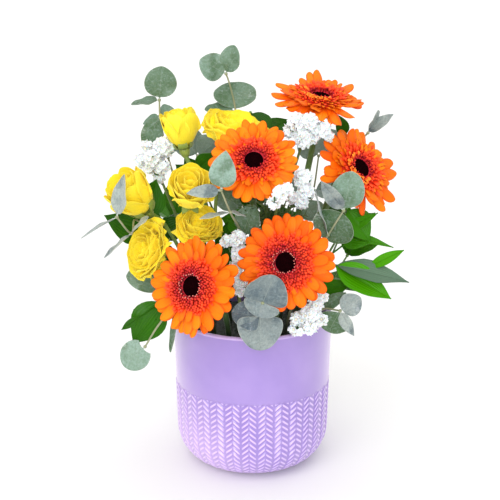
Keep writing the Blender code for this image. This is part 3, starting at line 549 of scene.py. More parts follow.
# ---------------------------------------------------------------- material helpers
class Nodes:
    """Short ways to add nodes to a tree."""

    def __init__(self, tree):
        self.tree = tree

    def feed(self, socket, value):
        """Link a socket to another, or set its value."""
        if isinstance(value, bpy.types.NodeSocket):
            self.tree.links.new(value, socket)
        else:
            socket.default_value = (*value, 1.0) if socket.type == "RGBA" else value

    def put(self, kind, **inputs):
        """A node with some of its inputs set or linked; an underscore stands for a space."""
        made = self.tree.nodes.new("ShaderNode" + kind)
        for name, value in inputs.items():
            self.feed(made.inputs[name.replace("_", " ")], value)
        return made

    def sums(self, operation, first, second=0.0):
        """The result of a Math node."""
        made = self.put("Math")
        made.operation = operation
        self.feed(made.inputs[0], first)
        self.feed(made.inputs[1], second)
        return made.outputs[0]

    def times(self, first, second):
        """One value times another."""
        return self.sums("MULTIPLY", first, second)

    def blend(self, mask, low, high):
        """A colour that goes from low to high as the mask goes from 0 to 1."""
        made = self.put("Mix")
        made.data_type = "RGBA"
        for index, value in ((0, mask), (6, low), (7, high)):
            self.feed(made.inputs[index], value)
        return made.outputs[2]

    def spread(self, value, low, high, to_low=0.0, to_high=1.0, smooth=True):
        """A value from low to high made to run from to_low to to_high, and held beyond them."""
        made = self.put("MapRange", Value=value, From_Min=low, From_Max=high, To_Min=to_low, To_Max=to_high)
        made.interpolation_type = "SMOOTHSTEP" if smooth else "LINEAR"
        return made.outputs["Result"]

    def mark(self, name):
        """The value that a mesh carries under a name."""
        made = self.put("Attribute")
        made.attribute_name = name
        return made.outputs["Fac"]

    def place(self):
        """Where a point lies in the object's own space, in metres."""
        return self.put("TexCoord").outputs["Object"]

    def axis(self, vector, name):
        """One axis of a vector."""
        return self.put("SeparateXYZ", Vector=vector).outputs[name]

    def across(self):
        """How far across a petal or leaf a point lies, from 0 to 1."""
        return self.axis(self.growth(), "X")

    def along(self):
        """How far along a petal or leaf a point lies, from 0 to 1."""
        return self.axis(self.growth(), "Y")

    def growth(self):
        """The UV map that runs across and along each petal or leaf."""
        made = self.put("UVMap")
        made.uv_map = "Growth"
        return made.outputs["UV"]


def draw_mottle(nodes, given):
    """Soft irregular patches in the object's own space."""
    noise = nodes.put("TexNoise", Vector=nodes.place(), Scale=given["Scale"], Detail=3.0)
    return nodes.spread(noise.outputs["Fac"], given["Low"], given["High"])


def draw_lines(nodes, given):
    """Lines that run the length of a petal or leaf, wandering a little."""
    noise = nodes.put("TexNoise", Vector=nodes.place(), Scale=160.0, Detail=2.0)
    drift = nodes.times(noise.outputs["Fac"], given["Wander"])
    count = nodes.times(nodes.across(), given["Lines"])
    wave = nodes.sums("SINE", nodes.times(nodes.sums("ADD", count, drift), math.tau))
    return nodes.spread(wave, -1.0, 1.0, smooth=False)


def draw_rim(nodes, given):
    """1 along the border of a petal or leaf and 0 inside it."""
    across = nodes.across()
    side = nodes.sums("MINIMUM", across, nodes.sums("SUBTRACT", 1.0, across))
    tip = nodes.times(nodes.sums("SUBTRACT", 1.0, nodes.along()), 0.7)
    return nodes.spread(nodes.sums("MINIMUM", side, tip), 0.0, given["Width"], 1.0, 0.0)


def draw_veins(nodes, given):
    """A fine net of veins."""
    cells = nodes.put("TexVoronoi", Vector=nodes.place(), Scale=given["Scale"])
    cells.feature = "DISTANCE_TO_EDGE"
    return nodes.spread(cells.outputs["Distance"], 0.0, given["Width"], 1.0, 0.0)


EFFECTS = {
    "Soft Mottle": (draw_mottle, {"Scale": 100.0, "Low": 0.35, "High": 0.65}),
    "Growth Lines": (draw_lines, {"Lines": 8.0, "Wander": 0.5}),
    "Rim Band": (draw_rim, {"Width": 0.1}),
    "Vein Net": (draw_veins, {"Scale": 300.0, "Width": 0.06}),
}


def shared_effect(name):
    """The node group of an effect, made the first time it is asked for."""
    if name in bpy.data.node_groups:
        return bpy.data.node_groups[name]
    draw, inputs = EFFECTS[name]
    tree = bpy.data.node_groups.new(name, "ShaderNodeTree")
    for label, default in inputs.items():
        socket = tree.interface.new_socket(label, in_out="INPUT", socket_type="NodeSocketFloat")
        socket.default_value = default
    tree.interface.new_socket("Mask", in_out="OUTPUT", socket_type="NodeSocketFloat")
    given, out = tree.nodes.new("NodeGroupInput"), tree.nodes.new("NodeGroupOutput")
    mask = draw(Nodes(tree), given.outputs)
    tree.links.new(mask, out.inputs["Mask"])
    return tree


class Finish(Nodes):
    """A material in the making, and the colour that it has so far."""

    def __init__(self, name, **constants):
        self.material = bpy.data.materials.new(name)
        self.material.use_nodes = True
        super().__init__(self.material.node_tree)
        self.shader = self.tree.nodes["Principled BSDF"]
        self.colour = None
        for label, value in constants.items():
            self.feed(self.shader.inputs[label.replace("_", " ")], value)

    def effect(self, name, **inputs):
        """The mask from a shared effect."""
        made = self.put("Group")
        made.node_tree = shared_effect(name)
        for label, value in inputs.items():
            self.feed(made.inputs[label], value)
        return made.outputs["Mask"]

    def mottle(self, scale, low=0.35, high=0.65):
        """Patches, with a scale of 1 for one to a metre."""
        return self.effect("Soft Mottle", Scale=scale, Low=low, High=high)

    def lines(self, count, wander):
        """Lines along a petal or leaf."""
        return self.effect("Growth Lines", Lines=count, Wander=wander)

    def rim(self, width):
        """The border of a petal or leaf, as a share of its width."""
        return self.effect("Rim Band", Width=width)

    def veins(self, scale, width):
        """A net of veins."""
        return self.effect("Vein Net", Scale=scale, Width=width)

    def aside(self):
        """How far to either side of its rib a point lies, from 0 to 0.5."""
        return self.sums("ABSOLUTE", self.sums("SUBTRACT", self.across(), 0.5))

    def start(self, mask, low, high):
        """Lay the first colour, from low to high as the mask goes from 0 to 1."""
        self.colour = self.blend(mask, low, high)

    def over(self, mask, colour, share=1.0):
        """Lay a share of another colour over the one so far, where the mask is 1."""
        self.colour = self.blend(mask if share == 1.0 else self.times(mask, share), self.colour, colour)

    def rough(self, mask, low, high):
        """Let the roughness go from low to high with a mask."""
        self.feed(self.shader.inputs["Roughness"], self.spread(mask, 0.0, 1.0, low, high))

    def bump(self, height, distance, strength=1.0):
        """Let a height shape the shader's normal."""
        made = self.put("Bump", Height=height, Strength=strength, Distance=distance)
        self.feed(self.shader.inputs["Normal"], made.outputs["Normal"])

    def done(self):
        """The material with its colour laid on."""
        self.feed(self.shader.inputs["Base Color"], self.colour)
        return self.material


# ---------------------------------------------------------------- finishes
# colours that aren't settings: each finish's shades beside its main colours
PAINTED_PINK_REFLECTION = (0.88, 0.64, 0.95)
FOAM_TONES_WITH_SHADE = (0.004, 0.012, 0.005), (0.010, 0.024, 0.010), (0.002, 0.006, 0.003)
RAY_WARM, RAY_EDGE_SHADOW = (0.99, 0.260, 0.0015), (0.60, 0.040, 0.002)
RAY_PATCH, RAY_BACK = (0.97, 0.23, 0.001), (0.86, 0.20, 0.010)
FLORET_DEEP, FLORET_TIP_DEEP = (0.12, 0.001, 0.007), (0.52, 0.010, 0.030)
EYE_PATCH, EYE_TIP = (0.010, 0.0005, 0.0015), (0.016, 0.0008, 0.002)
POLLEN_TONES = (0.06, 0.001, 0.005), (1.0, 0.34, 0.26), (0.55, 0.06, 0.06)
GOLD_TONES = (0.80, 0.07, 0.006), (1.0, 0.34, 0.03), (1.0, 0.22, 0.012)
GERBERA_SHADE, ROSE_SHADE, STATICE_SHADE = (0.030, 0.09, 0.015), (0.07, 0.17, 0.02), (0.025, 0.07, 0.015)
OLD_SHOOT, RUSCUS_SHOOT_TONES = (0.22, 0.26, 0.16), ((0.10, 0.26, 0.04), (0.05, 0.15, 0.02))
RUSCUS_RIB = (0.07, 0.25, 0.006)
GREY_LEAF_TONES = (0.12, 0.20, 0.13), (0.06, 0.11, 0.07), (0.03, 0.07, 0.04)
YOUNG_GREEN, PAINTED_POT_SHADE = (0.42, 0.46, 0.10), (0.006, 0.016, 0.005)
PAPER_FOOT, PAPER_THROAT_SHADE, PAPER_LILAC_PATCH = (0.74, 0.78, 0.66), (0.68, 0.69, 0.70), (0.70, 0.69, 0.74)
SPECK_TONES = (0.22, 0.13, 0.03), (0.95, 0.90, 0.72), (0.7, 0.6, 0.3)
WAXY_VEIN, WAXY_RIB, WAXY_RIM, WAXY_JOINT = (
    (0.38, 0.48, 0.44), (0.52, 0.58, 0.50), (0.46, 0.50, 0.42), (0.66, 0.70, 0.66),
)


def glaze_finish(settings):
    """Glossy lilac glaze, thin on the ribs, pooled between them, with painted pink reflection low on the
    left.
    """
    look = Finish(
        "lilac_glaze", Coat_Weight=0.9, Coat_Roughness=0.16,
        Sheen_Weight=0.48, Sheen_Roughness=0.55, Sheen_Tint=(0.86, 0.68, 1.0),
    )
    raised, thin = look.mark("tint"), settings.glaze_thin[:]
    look.start(look.spread(raised, 0.0, 0.5), settings.glaze_deep[:], settings.glaze[:])
    look.over(look.spread(raised, 0.55, 1.0), thin)
    look.over(look.mottle(22.0, 0.3, 0.75), thin, 0.15)
    # painted pink reflection, strongest towards the lower left of the pot
    leftward = look.times(look.axis(look.place(), "X"), -1.0)
    downward = look.times(look.axis(look.place(), "Z"), -0.9)
    look.over(look.spread(look.sums("ADD", leftward, downward), -0.045, 0.05, 0.0, 0.44), PAINTED_PINK_REFLECTION)
    look.rough(look.mottle(60.0, 0.3, 0.7), 0.30, 0.34)
    look.bump(look.mottle(18.0, 0.2, 0.8), 0.00005, 0.15)
    return look.done()


def foam_finish():
    """Soaked floral foam, dark green and finely pitted, darkened further with painted shade, most in its
    pits.
    """
    look = Finish("wet_foam", Roughness=0.8, Coat_Weight=0.15)
    dark, light, pit = FOAM_TONES_WITH_SHADE
    look.start(look.mottle(60.0, 0.3, 0.7), dark, light)
    pits = look.veins(900.0, 0.12)
    # painted shade in the pits
    look.over(pits, pit)
    look.bump(pits, 0.0006)
    return look.done()


def ray_finish(settings):
    """Satin orange ray: red at its base, finely lined along its length, with painted shadow at its edges."""
    look = Finish("gerbera_ray", Sheen_Weight=0.02, Sheen_Roughness=0.4, Specular_IOR_Level=0.15)
    along = look.along()
    look.start(look.spread(along, 0.05, 0.58), settings.ray_base[:], settings.ray[:])
    look.over(look.times(look.spread(along, 0.1, 0.5), look.mark("tint")), RAY_WARM)
    lines = look.lines(9.0, 0.5)
    look.over(lines, settings.ray_base[:], 0.22)
    # painted shadow along the edges of each ray, where its neighbours would shade it
    look.over(look.spread(look.aside(), 0.34, 0.5, 0.0, 0.75), RAY_EDGE_SHADOW)
    patch = look.mottle(130.0, 0.3, 0.75)
    look.over(patch, RAY_PATCH, 0.16)
    look.over(look.mark("back"), RAY_BACK, 0.35)
    look.rough(patch, 0.42, 0.58)
    look.bump(lines, 0.00018, 0.6)
    return look.done()


def floret_finish(settings):
    """Red florets that are paler at their tips and crimson towards the eye."""
    look = Finish("gerbera_floret", Roughness=0.5, Specular_IOR_Level=0.15)
    tint = look.mark("tint")
    body = look.blend(tint, FLORET_DEEP, settings.floret[:])
    tip = look.blend(tint, FLORET_TIP_DEEP, settings.floret_tip[:])
    look.start(look.spread(look.along(), 0.35, 0.95), body, tip)
    patch = look.mottle(380.0)
    look.over(patch, tip, 0.2)
    look.bump(patch, 0.0002, 0.5)
    return look.done()


def eye_finish(settings):
    """Velvety eye, nearly black."""
    look = Finish("gerbera_eye", Roughness=0.9, Specular_IOR_Level=0.02)
    patch = look.mottle(700.0, 0.3, 0.7)
    look.start(patch, settings.eye[:], EYE_PATCH)
    look.over(look.spread(look.along(), 0.8, 1.0, 0.0, 0.4), EYE_TIP)
    look.bump(patch, 0.0002)
    return look.done()


def tipped_finish(name, tones, low, high, scale, share):
    """A tiny flower part of one tone with tips of another and patches of a third."""
    look = Finish(name, Roughness=0.6)
    foot, tip, patch = tones
    look.start(look.spread(look.along(), low, high), foot, tip)
    look.over(look.mottle(scale), patch, share)
    return look.done()


def pollen_finish():
    """Dark pegs with pale pink tips round the eye."""
    return tipped_finish("gerbera_pollen", POLLEN_TONES, 0.62, 0.85, 600.0, 0.4)


def gold_finish():
    """Open florets with golden tips."""
    look = Finish("gerbera_gold", Roughness=0.55, Specular_IOR_Level=0.2)
    foot, *tips = GOLD_TONES
    tip = look.blend(look.mottle(500.0), *tips)
    look.start(look.spread(look.along(), 0.3, 0.8), foot, tip)
    return look.done()


def green_finish(name, fresh, shade, roughness, lines, hair=0.0):
    """A soft green stem, bract or sepal with fine lengthwise lines, darkened by painted shade inside the pot.
    """
    look = Finish(name, Roughness=roughness, Sheen_Weight=hair, Sheen_Roughness=0.35)
    stripes = look.lines(lines, 1.2)
    look.start(look.mottle(90.0, 0.3, 0.7), shade, fresh)
    look.over(look.spread(look.mark("tint"), 0.0, 1.0, 0.0, 0.6), YOUNG_GREEN)
    look.over(stripes, fresh, 0.25)
    # painted shade: parts inside the pot mouth go dark below the rim and lighten upwards
    x, y, z = (look.axis(look.place(), axis) for axis in "XYZ")
    inside = look.spread(look.sums("ADD", look.times(x, x), look.times(y, y)), 0.0036, 0.0048, 1.0, 0.0)
    look.over(look.times(look.spread(z, 0.130, 0.168, 0.88, 0.0), inside), PAINTED_POT_SHADE)
    look.bump(stripes, 0.00025, 0.6)
    return look.done()


def petal_finish(settings):
    """Silky yellow petal, deeper at its base and pale along its edge."""
    look = Finish(
        "rose_petal", Specular_IOR_Level=0.15,
        Subsurface_Weight=0.12, Subsurface_Scale=0.003, Subsurface_Radius=(1.0, 0.7, 0.08),
        Sheen_Weight=0.35, Sheen_Roughness=0.5, Sheen_Tint=(1.0, 0.88, 0.25),
    )
    deep, edge = settings.petal_deep[:], settings.petal_edge[:]
    look.start(look.spread(look.along(), 0.05, 0.6), deep, settings.petal[:])
    look.over(look.spread(look.mark("tint"), 0.0, 1.0, 0.0, 0.4), edge)
    look.over(look.rim(0.10), edge, 0.35)
    lines = look.lines(14.0, 1.4)
    look.over(lines, deep, 0.07)
    patch = look.mottle(240.0, 0.3, 0.7)
    look.rough(patch, 0.46, 0.62)
    look.bump(look.sums("ADD", lines, patch), 0.00010, 0.5)
    return look.done()


def paper_finish(settings):
    """Papery white floret, greenish at its foot, with painted shade down its inside and faint lilac patches.
    """
    look = Finish(
        "statice_paper", Roughness=0.7, Specular_IOR_Level=0.3, Subsurface_Weight=0.3, Subsurface_Scale=0.004,
    )
    along = look.along()
    look.start(look.spread(along, 0.0, 0.25), PAPER_FOOT, settings.paper[:])
    # painted shade down the inside of each floret's cup
    look.over(look.spread(along, 0.60, 0.95), PAPER_THROAT_SHADE)
    look.over(look.mottle(260.0, 0.35, 0.7), PAPER_LILAC_PATCH, 0.30)
    look.bump(look.mottle(900.0), 0.00012, 0.6)
    return look.done()


def speck_finish():
    """Tiny true flowers inside the papery florets, cream with brown hearts."""
    return tipped_finish("statice_heart", SPECK_TONES, 0.3, 0.8, 500.0, 0.2)


def waxy_finish(name, shade, pale, frost):
    """Waxy leaf, dull where its tint is 0 and pale where it is 1, with worn patches, a rib and a rim."""
    look = Finish(name, Sheen_Weight=0.05, Sheen_Roughness=0.5)
    along, tint = look.along(), look.mark("tint")
    look.start(tint, shade, pale)
    look.over(look.times(look.mottle(38.0, 0.38, 0.62), look.spread(tint, 0.0, 1.0, 0.14, 0.45)), pale)
    rubbed = look.mottle(70.0, 0.46, 0.64)
    look.over(rubbed, shade, 0.62)
    look.over(look.mottle(650.0, 0.42, 0.62), shade, 0.28)
    look.over(look.mottle(420.0, 0.52, 0.70), frost, 0.22)
    net = look.veins(230.0, 0.07)
    look.over(net, WAXY_VEIN, 0.12)
    rib = look.times(look.spread(look.aside(), 0.004, 0.02, 1.0, 0.0), look.spread(along, 0.3, 0.9, 1.0, 0.3))
    look.over(rib, WAXY_RIB, 0.5)
    look.over(look.mark("back"), frost, 0.35)
    look.over(look.rim(0.03), WAXY_RIM, 0.45)
    look.over(look.spread(along, 0.03, 0.20, 0.85, 0.0), WAXY_JOINT)
    look.rough(rubbed, 0.46, 0.26)
    look.bump(look.sums("ADD", net, look.times(rib, 2.0)), 0.00022, 0.5)
    return look.done()


def lined_leaf_finish(name, fresh, shade, rib_tone, shine):
    """A smooth leaf with parallel veins: fresh where its tint is 1, shade where it is 0."""
    look = Finish(name, Coat_Weight=shine, Coat_Roughness=0.2, Specular_IOR_Level=0.10)
    look.start(look.mark("tint"), shade, fresh)
    patch = look.mottle(45.0, 0.3, 0.75)
    look.over(patch, fresh, 0.12)
    lines = look.lines(13.0, 0.25)
    look.over(lines, rib_tone, 0.14)
    rib = look.spread(look.aside(), 0.006, 0.028, 1.0, 0.0)
    look.over(rib, rib_tone, 0.45)
    look.over(look.mark("back"), rib_tone, 0.35)
    look.over(look.rim(0.03), rib_tone, 0.3)
    look.rough(patch, 0.28, 0.42)
    look.bump(look.sums("ADD", lines, rib), 0.00025, 0.6)
    return look.done()


def floor_finish(settings):
    """Matt pale floor."""
    look = Finish("studio_floor", Roughness=0.85)
    pale = settings.floor[:]
    look.start(look.mottle(3.0, 0.3, 0.7), pale, tuple(0.985 * value for value in pale))
    return look.done()


# ---------------------------------------------------------------- pot and foam
# the pot in mm: radius above its rounded foot, radius of that rounding, wall, floor and rim
POT_WAIST_RADIUS = 67.2
POT_CORNER = 32.0
POT_WALL = 4.6
POT_FLOOR = 6.0
RIM_ROUND = 1.9
# a rib: shares of its pitch and its height at each, then shares of its length and its height at each
RIB_STEPS = (0.0, 0.15, 0.27, 0.40, 0.60, 0.73, 0.85)
RIB_LEVELS = (0.0, 0.06, 0.68, 1.0, 1.0, 0.68, 0.06)
RIB_ACROSS = (0.0, 0.07, 0.15, 0.34, 0.62, 0.86, 0.95)
RIB_ENDS = (0.05, 0.10, 0.85, 1.0, 1.0, 0.95, 0.6)
# the relief: climb of a rib in mm, turn of the pattern in degrees, start and fade along the wall in mm
RIB_SLOPE = 5.6
RELIEF_PHASE = 3.4
RELIEF_LOW = 14.0
RELIEF_FADE = 9.0
# radii of the rings on the flat base, levels of those on the plain wall, narrowing of the inside,
# the gap in metres under which points are joined, and the tints of plain wall and rim
BASE_RADII = (2.0, 20.0, 33.0)
PLAIN_LEVELS = (78.0, 84.0, 96.0, 110.0, 122.0, 130.0)
INSIDE_LEAN = 0.025
WELD = 0.000004
# the rim's pale tint is thin glaze on the lip together with a painted highlight
PLAIN_TINT, RIM_TINT_WITH_HIGHLIGHT = 0.5, 0.84
# the foam: points round it, roughness in mm, its side from below as (radius, level), rings of its top
FOAM_SIDES = 96
FOAM_ROUGH = 0.35
FOAM_FOOT = ((60.0, 36.0), (61.0, 70.0), (61.6, 110.0))
FOAM_TOP_RADII = (60.5, 57.0, 52.0, 46.0, 39.0, 31.0, 22.0, 12.0, 3.0)


def along_wall(level):
    """How far up the outside, measured along it from the base's flat, a level of the plain wall lies."""
    return level - POT_CORNER + POT_CORNER * math.pi / 2.0


def outer_wall(run, top_radius, height):
    """Place and outward direction on the outside at a distance up from the base's flat."""
    corner = POT_WAIST_RADIUS - POT_CORNER
    arc = POT_CORNER * math.pi / 2.0
    turn = np.clip(run / arc, 0.0, 1.0) * math.pi / 2.0
    above = np.clip(run - arc, 0.0, None)
    lean = (top_radius - POT_WAIST_RADIUS) / (height - POT_CORNER)
    radius = corner + POT_CORNER * np.sin(turn) + above * lean
    level = POT_CORNER * (1.0 - np.cos(turn)) + above
    return radius, level, np.sin(turn), -np.cos(turn)


class Rings:
    """Rings of points round the Z axis, each with the tint of its points."""

    def __init__(self, angle):
        self.angle, self.rings, self.tints = angle, [], []

    def add(self, radius, level, tint=PLAIN_TINT):
        """One more ring, whose radius, level and tint may vary round it."""
        x, y = radius * np.cos(self.angle), radius * np.sin(self.angle)
        self.rings.append(np.stack(np.broadcast_arrays(x, y, level), -1))
        self.tints.append(np.broadcast_to(tint, len(self.angle)))


def chevron_plan(pairs):
    """Angles round the pot, how far the ribs have climbed at each, and how high they stand there."""
    across = np.array(RIB_ACROSS)
    place = np.concatenate([across, [1.0], 2.0 - across[::-1][:-1]]) / 2.0
    angle = ((np.arange(pairs)[:, None] + place[None, :]) / pairs * math.tau).ravel()
    climb = np.concatenate([across, [1.0], across[::-1][:-1]])
    ends = np.concatenate([RIB_ENDS, [0.55], RIB_ENDS[::-1][:-1]])
    return angle + math.radians(RELIEF_PHASE - 90.0), np.tile(climb, pairs), np.tile(ends, pairs)


def add_relief(stack, settings, climb, ends, top_radius, height):
    """Slanting ribs that meet in chevrons and fade out towards the base."""
    pitch, deep = tuned(settings, "rib_pitch"), tuned(settings, "rib_height")
    top = along_wall(tuned(settings, "relief_top"))
    for row in range(int((RELIEF_LOW - RIB_SLOPE) / pitch), int(top / pitch) + 1):
        for step, level in zip(RIB_STEPS, RIB_LEVELS):
            run = (row + step) * pitch + RIB_SLOPE * climb
            inside = (run > RELIEF_LOW + 0.02) & (run < top - 0.02)
            held = np.clip(run, RELIEF_LOW, top)
            fade = ease((held - RELIEF_LOW) / RELIEF_FADE)
            radius, place, out, up = outer_wall(held, top_radius, height)
            raised = np.where(inside, level * ends, 0.5)
            lift = np.where(inside, (raised - 0.55) * deep, 0.0) * fade
            tint = np.where(inside, 0.5 + (raised - 0.5) * fade, 0.5)
            stack.add(radius + out * lift, place + up * lift, tint)


def add_inside(stack, top_radius, height):
    """Rings over the rounded rim and down the inside to the middle of the floor."""
    half_wall, bowl = POT_WALL / 2.0, POT_CORNER - POT_WALL
    # over the rim the glaze is thin and carries a painted highlight
    for turn in np.linspace(0.0, math.pi, 9):
        out, up = half_wall * math.cos(turn), RIM_ROUND * math.sin(turn)
        stack.add(top_radius - half_wall + out, height - RIM_ROUND + up, RIM_TINT_WITH_HIGHLIGHT)
    for level in (height - 6.0, 110.0, 70.0, POT_CORNER + 6.0):
        stack.add(top_radius - POT_WALL - (height - level) * INSIDE_LEAN, level)
    for turn in (25.0, 55.0, 80.0):
        bend = math.radians(turn)
        radius = POT_WAIST_RADIUS - POT_CORNER + bowl * math.cos(bend)
        stack.add(radius, POT_CORNER - bowl * math.sin(bend) + 1.0)
    stack.add(12.0, POT_FLOOR)
    stack.add(2.0, POT_FLOOR)


def pot_rings(settings, top_radius, height):
    """Rings of the pot from the middle of its base up the outside, over the rim and down inside."""
    angle, climb, ends = chevron_plan(settings.chevrons)
    stack = Rings(angle)
    for radius in BASE_RADII:
        stack.add(radius, 0.0)
    for share in np.linspace(0.05, 1.0, 5):
        stack.add(*outer_wall(RELIEF_LOW * share, top_radius, height)[:2])
    add_relief(stack, settings, climb, ends, top_radius, height)
    for level in (*PLAIN_LEVELS, height - 3.0):
        stack.add(*outer_wall(along_wall(level), top_radius, height)[:2])
    add_inside(stack, top_radius, height)
    return np.array(stack.rings), np.array(stack.tints)


def build_pot(settings):
    """The glazed pot with its chevron relief."""
    _low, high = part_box("pot")
    rings, tints = pot_rings(settings, high[0] / MM, high[2] / MM)
    gather = Gather()
    gather.add(skin(rings), tint=np.concatenate([tints.ravel(), [PLAIN_TINT, PLAIN_TINT]]))
    pot = gather.build("glazed_pot", [glaze_finish(settings)])
    welded = bmesh.new()
    welded.from_mesh(pot.data)
    bmesh.ops.remove_doubles(welded, verts=welded.verts, dist=WELD)
    bmesh.ops.dissolve_degenerate(welded, edges=welded.edges, dist=WELD)
    welded.to_mesh(pot.data)
    welded.free()
    stand_for(pot, "lilac_glaze", "pot")


def build_foam():
    """Rough block of soaked foam, cut flat along the back for watering."""
    rng = np.random.default_rng(5)
    low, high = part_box("floral_foam")
    bottom, top, back = low[2] / MM, high[2] / MM, high[1] / MM
    angle = np.linspace(0.0, math.tau, FOAM_SIDES, endpoint=False)
    rings = []
    outline = [(3.0, bottom), (33.0, bottom), *FOAM_FOOT, (61.9, top - 1.2)]
    for radius, level in outline + [(radius, top) for radius in FOAM_TOP_RADII]:
        rough = rng.normal(0.0, FOAM_ROUGH, (FOAM_SIDES, 3)) * (1.0 if level > 60.0 else 0.2)
        x, y = radius * np.cos(angle), radius * np.sin(angle)
        ring = np.stack([x, np.minimum(y, back - 0.6), np.full(FOAM_SIDES, level)], -1) + rough
        ring[:, 2] = np.minimum(ring[:, 2], top + 0.2)
        rings.append(ring)
    gather = Gather()
    gather.add(skin(np.array(rings)))
    foam = gather.build("soaked_foam", [foam_finish()], sharp=80.0)
    stand_for(foam, "wet_foam", "floral_foam")


# ---------------------------------------------------------------- gerberas
# where a ray has points, as shares across and along it, its thickness, and where its blunt tip starts
RAY_ACROSS = np.array([-1.0, -0.82, -0.56, -0.40, -0.24, 0.0, 0.24, 0.40, 0.56, 0.82, 1.0])
RAY_ALONG = np.array([0.0, 0.12, 0.28, 0.45, 0.60, 0.72, 0.81, 0.88, 0.935, 0.97, 0.99, 1.0])
RAY_BLADE = 0.55
RAY_TIP = 0.70
# the side on which cupped rays dip and golden florets gather, and the flowers with pale tips round the eye
SUNNY_SIDE = (-0.7, -1.0, -0.3)
PALE_RINGED = ("gerbera_1", "gerbera_2")
# the stem's radius, its straight length under the flower, the gap where it ends, the points round it,
# and the outline of the cup as (radius, level)
GERBERA_STEM = 2.7
GERBERA_NECK = 34.0
GERBERA_STEM_END = 8.0
GERBERA_SIDES = 20
GERBERA_CUP = (
    (0.8, -14.0), (3.4, -13.6), (6.4, -11.2), (8.6, -8.0),
    (10.2, -4.6), (11.0, -2.0), (10.6, -0.9), (2.0, -0.8),
)
# rows of bracts: how many, distance from the middle, lowest point, length, width, swell
BRACT_ROWS = (
    (18, 10.0, -6.0, 7.0, 3.4, 3.2),
    (16, 8.2, -9.5, 8.0, 3.6, 3.6),
    (13, 5.6, -12.8, 8.0, 3.6, 3.6),
)
# where the eye ends and the florets start, in disc radii
EYE_EDGE, FLORETS_START = 0.185, 0.215
# grains of the eye, pegs round it, golden florets of the wildest heart, and points round the bed
EYE_GRAINS, PEGS, GOLDEN_FLORETS, BED_SIDES = 150, 34, 46, 40
# the order of the looks in the heart's material slots
FLORET, EYE, PEG, BED, RAY, GOLD = range(6)
# a rounded bud and a coarser grain, one unit tall and one unit in radius
BUD = turned([(0.35, 0.0), (0.62, 0.30), (0.95, 0.58), (1.0, 0.76), (0.72, 0.93), (0.05, 1.0)], 7)
GRAIN = turned([(0.5, 0.0), (1.0, 0.6), (0.7, 0.92), (0.05, 1.0)], 5)


def ray_grid(rng, start, end, width, lift, droop, mess):
    """Upper face of one broad blunt ray that lies along +X."""
    along = RAY_ALONG[:, None]
    across = RAY_ACROSS[None, :]
    span = end - start
    tip = np.clip((along - RAY_TIP) / 0.302, 0.0, 1.0)
    half = width / 2.0 * (0.42 + 0.58 * ease(along / 0.62)) * np.sqrt(1.0 - tip ** 2.2)
    lift = lift + rng.normal(0.0, 0.07) * mess
    droop = droop + rng.normal(0.0, 0.10) * mess
    sway = rng.normal(0.0, 0.035) * (0.5 + mess)
    twist = rng.normal(0.0, 0.20) * mess
    cup = rng.uniform(0.22, 0.50)
    x = start + span * along
    groove = 0.14 * np.exp(-(((np.abs(across) - 0.42) / 0.10) ** 2)) * (width / 9.0)
    bow = -cup * half * across ** 2 - groove
    y = half * across * np.cos(twist * along) - bow * np.sin(twist * along)
    z = span * (lift * along - droop * along ** 2)
    z = z + bow * np.cos(twist * along) + half * across * np.sin(twist * along)
    y = y + sway * span * along ** 2
    return np.stack(np.broadcast_arrays(x, y, z), -1)


def strap_grid(span, width, rise, bend):
    """A short narrow floret that leans outwards from its base."""
    steps = 6
    along = np.linspace(0.0, 1.0, steps)
    angle = rise + (bend - rise) * along
    x = span * np.concatenate([[0.0], np.cumsum(np.cos(angle[1:]))]) / (steps - 1)
    z = span * np.concatenate([[0.0], np.cumsum(np.sin(angle[1:]))]) / (steps - 1)
    half = width / 2.0 * np.array([0.7, 0.85, 1.0, 1.0, 0.85, 0.35])
    across = np.array([-1.0, 0.0, 1.0])[None, :]
    grid = np.zeros((steps, 3, 3))
    grid[..., 0] = x[:, None] - 0.18 * half[:, None] * (1.0 - across ** 2) * np.sin(angle)[:, None]
    grid[..., 1] = half[:, None] * across
    grid[..., 2] = z[:, None] + 0.25 * half[:, None] * across ** 2
    return grid


def wildness(mess):
    """How far the mess of a flower breaks up its rows, from 0 to 1."""
    return ease((mess - 0.7) / 0.4)


def ray_rows(gather, rng, settings, radius, mess, warmth, cupping, sunny):
    """Two overlapping rows of rays and a broken third row of narrow ones, lifted away from the front."""
    count, wild = settings.rays, wildness(mess)
    fewer = round(2 * wild)
    # rays, start and end in disc radii, width, lift, droop, height, scatter
    rows = (
        (count - fewer, 0.30, 1.00, 0.258, 0.04, 0.02 + 0.05 * wild, 0.0, 0.06 + 0.2 * wild),
        (count - 4 - fewer, 0.30, 0.93 - 0.05 * wild, 0.240, 0.09, 0.03 + 0.04 * wild, 1.1,
         0.10 + 0.25 * wild),
        (round(count * (0.30 + 0.40 * wild)), 0.30, 0.72 - 0.06 * wild, 0.14, 0.22, 0.05 + 0.06 * wild,
         2.0, 0.4),
    )
    for row, (number, start, end, width, lift, droop, level, scatter) in enumerate(rows):
        for index in range(number):
            reach = end * radius * rng.uniform(0.92 - 0.12 * wild, 1.02)
            wide = width * radius * rng.uniform(0.82 - 0.08 * wild, 1.06)
            angle = (index + 0.5 * row + rng.normal(0.0, scatter)) / number * math.tau
            rise = lift - cupping * math.cos(angle - sunny)
            grid = ray_grid(rng, start * radius, reach, wide, rise, droop, mess)
            turn = spin_matrix(angle, place=(0.0, 0.0, level + rng.uniform(0, 0.5)))
            tint = warmth + rng.normal(0.0, 0.2) - 0.2 * (row == 2)
            gather.add(sheet(grid, RAY_BLADE).moved(turn), tint=float(np.clip(tint, 0.0, 1.0)))


def add_strap(gather, turn, span, width, rise, bend, slot, tint):
    """One strap-shaped floret."""
    grid = strap_grid(span, width, rise, bend)
    gather.add(sheet(grid, 0.6, 0.8).moved(turn), slot, tint)


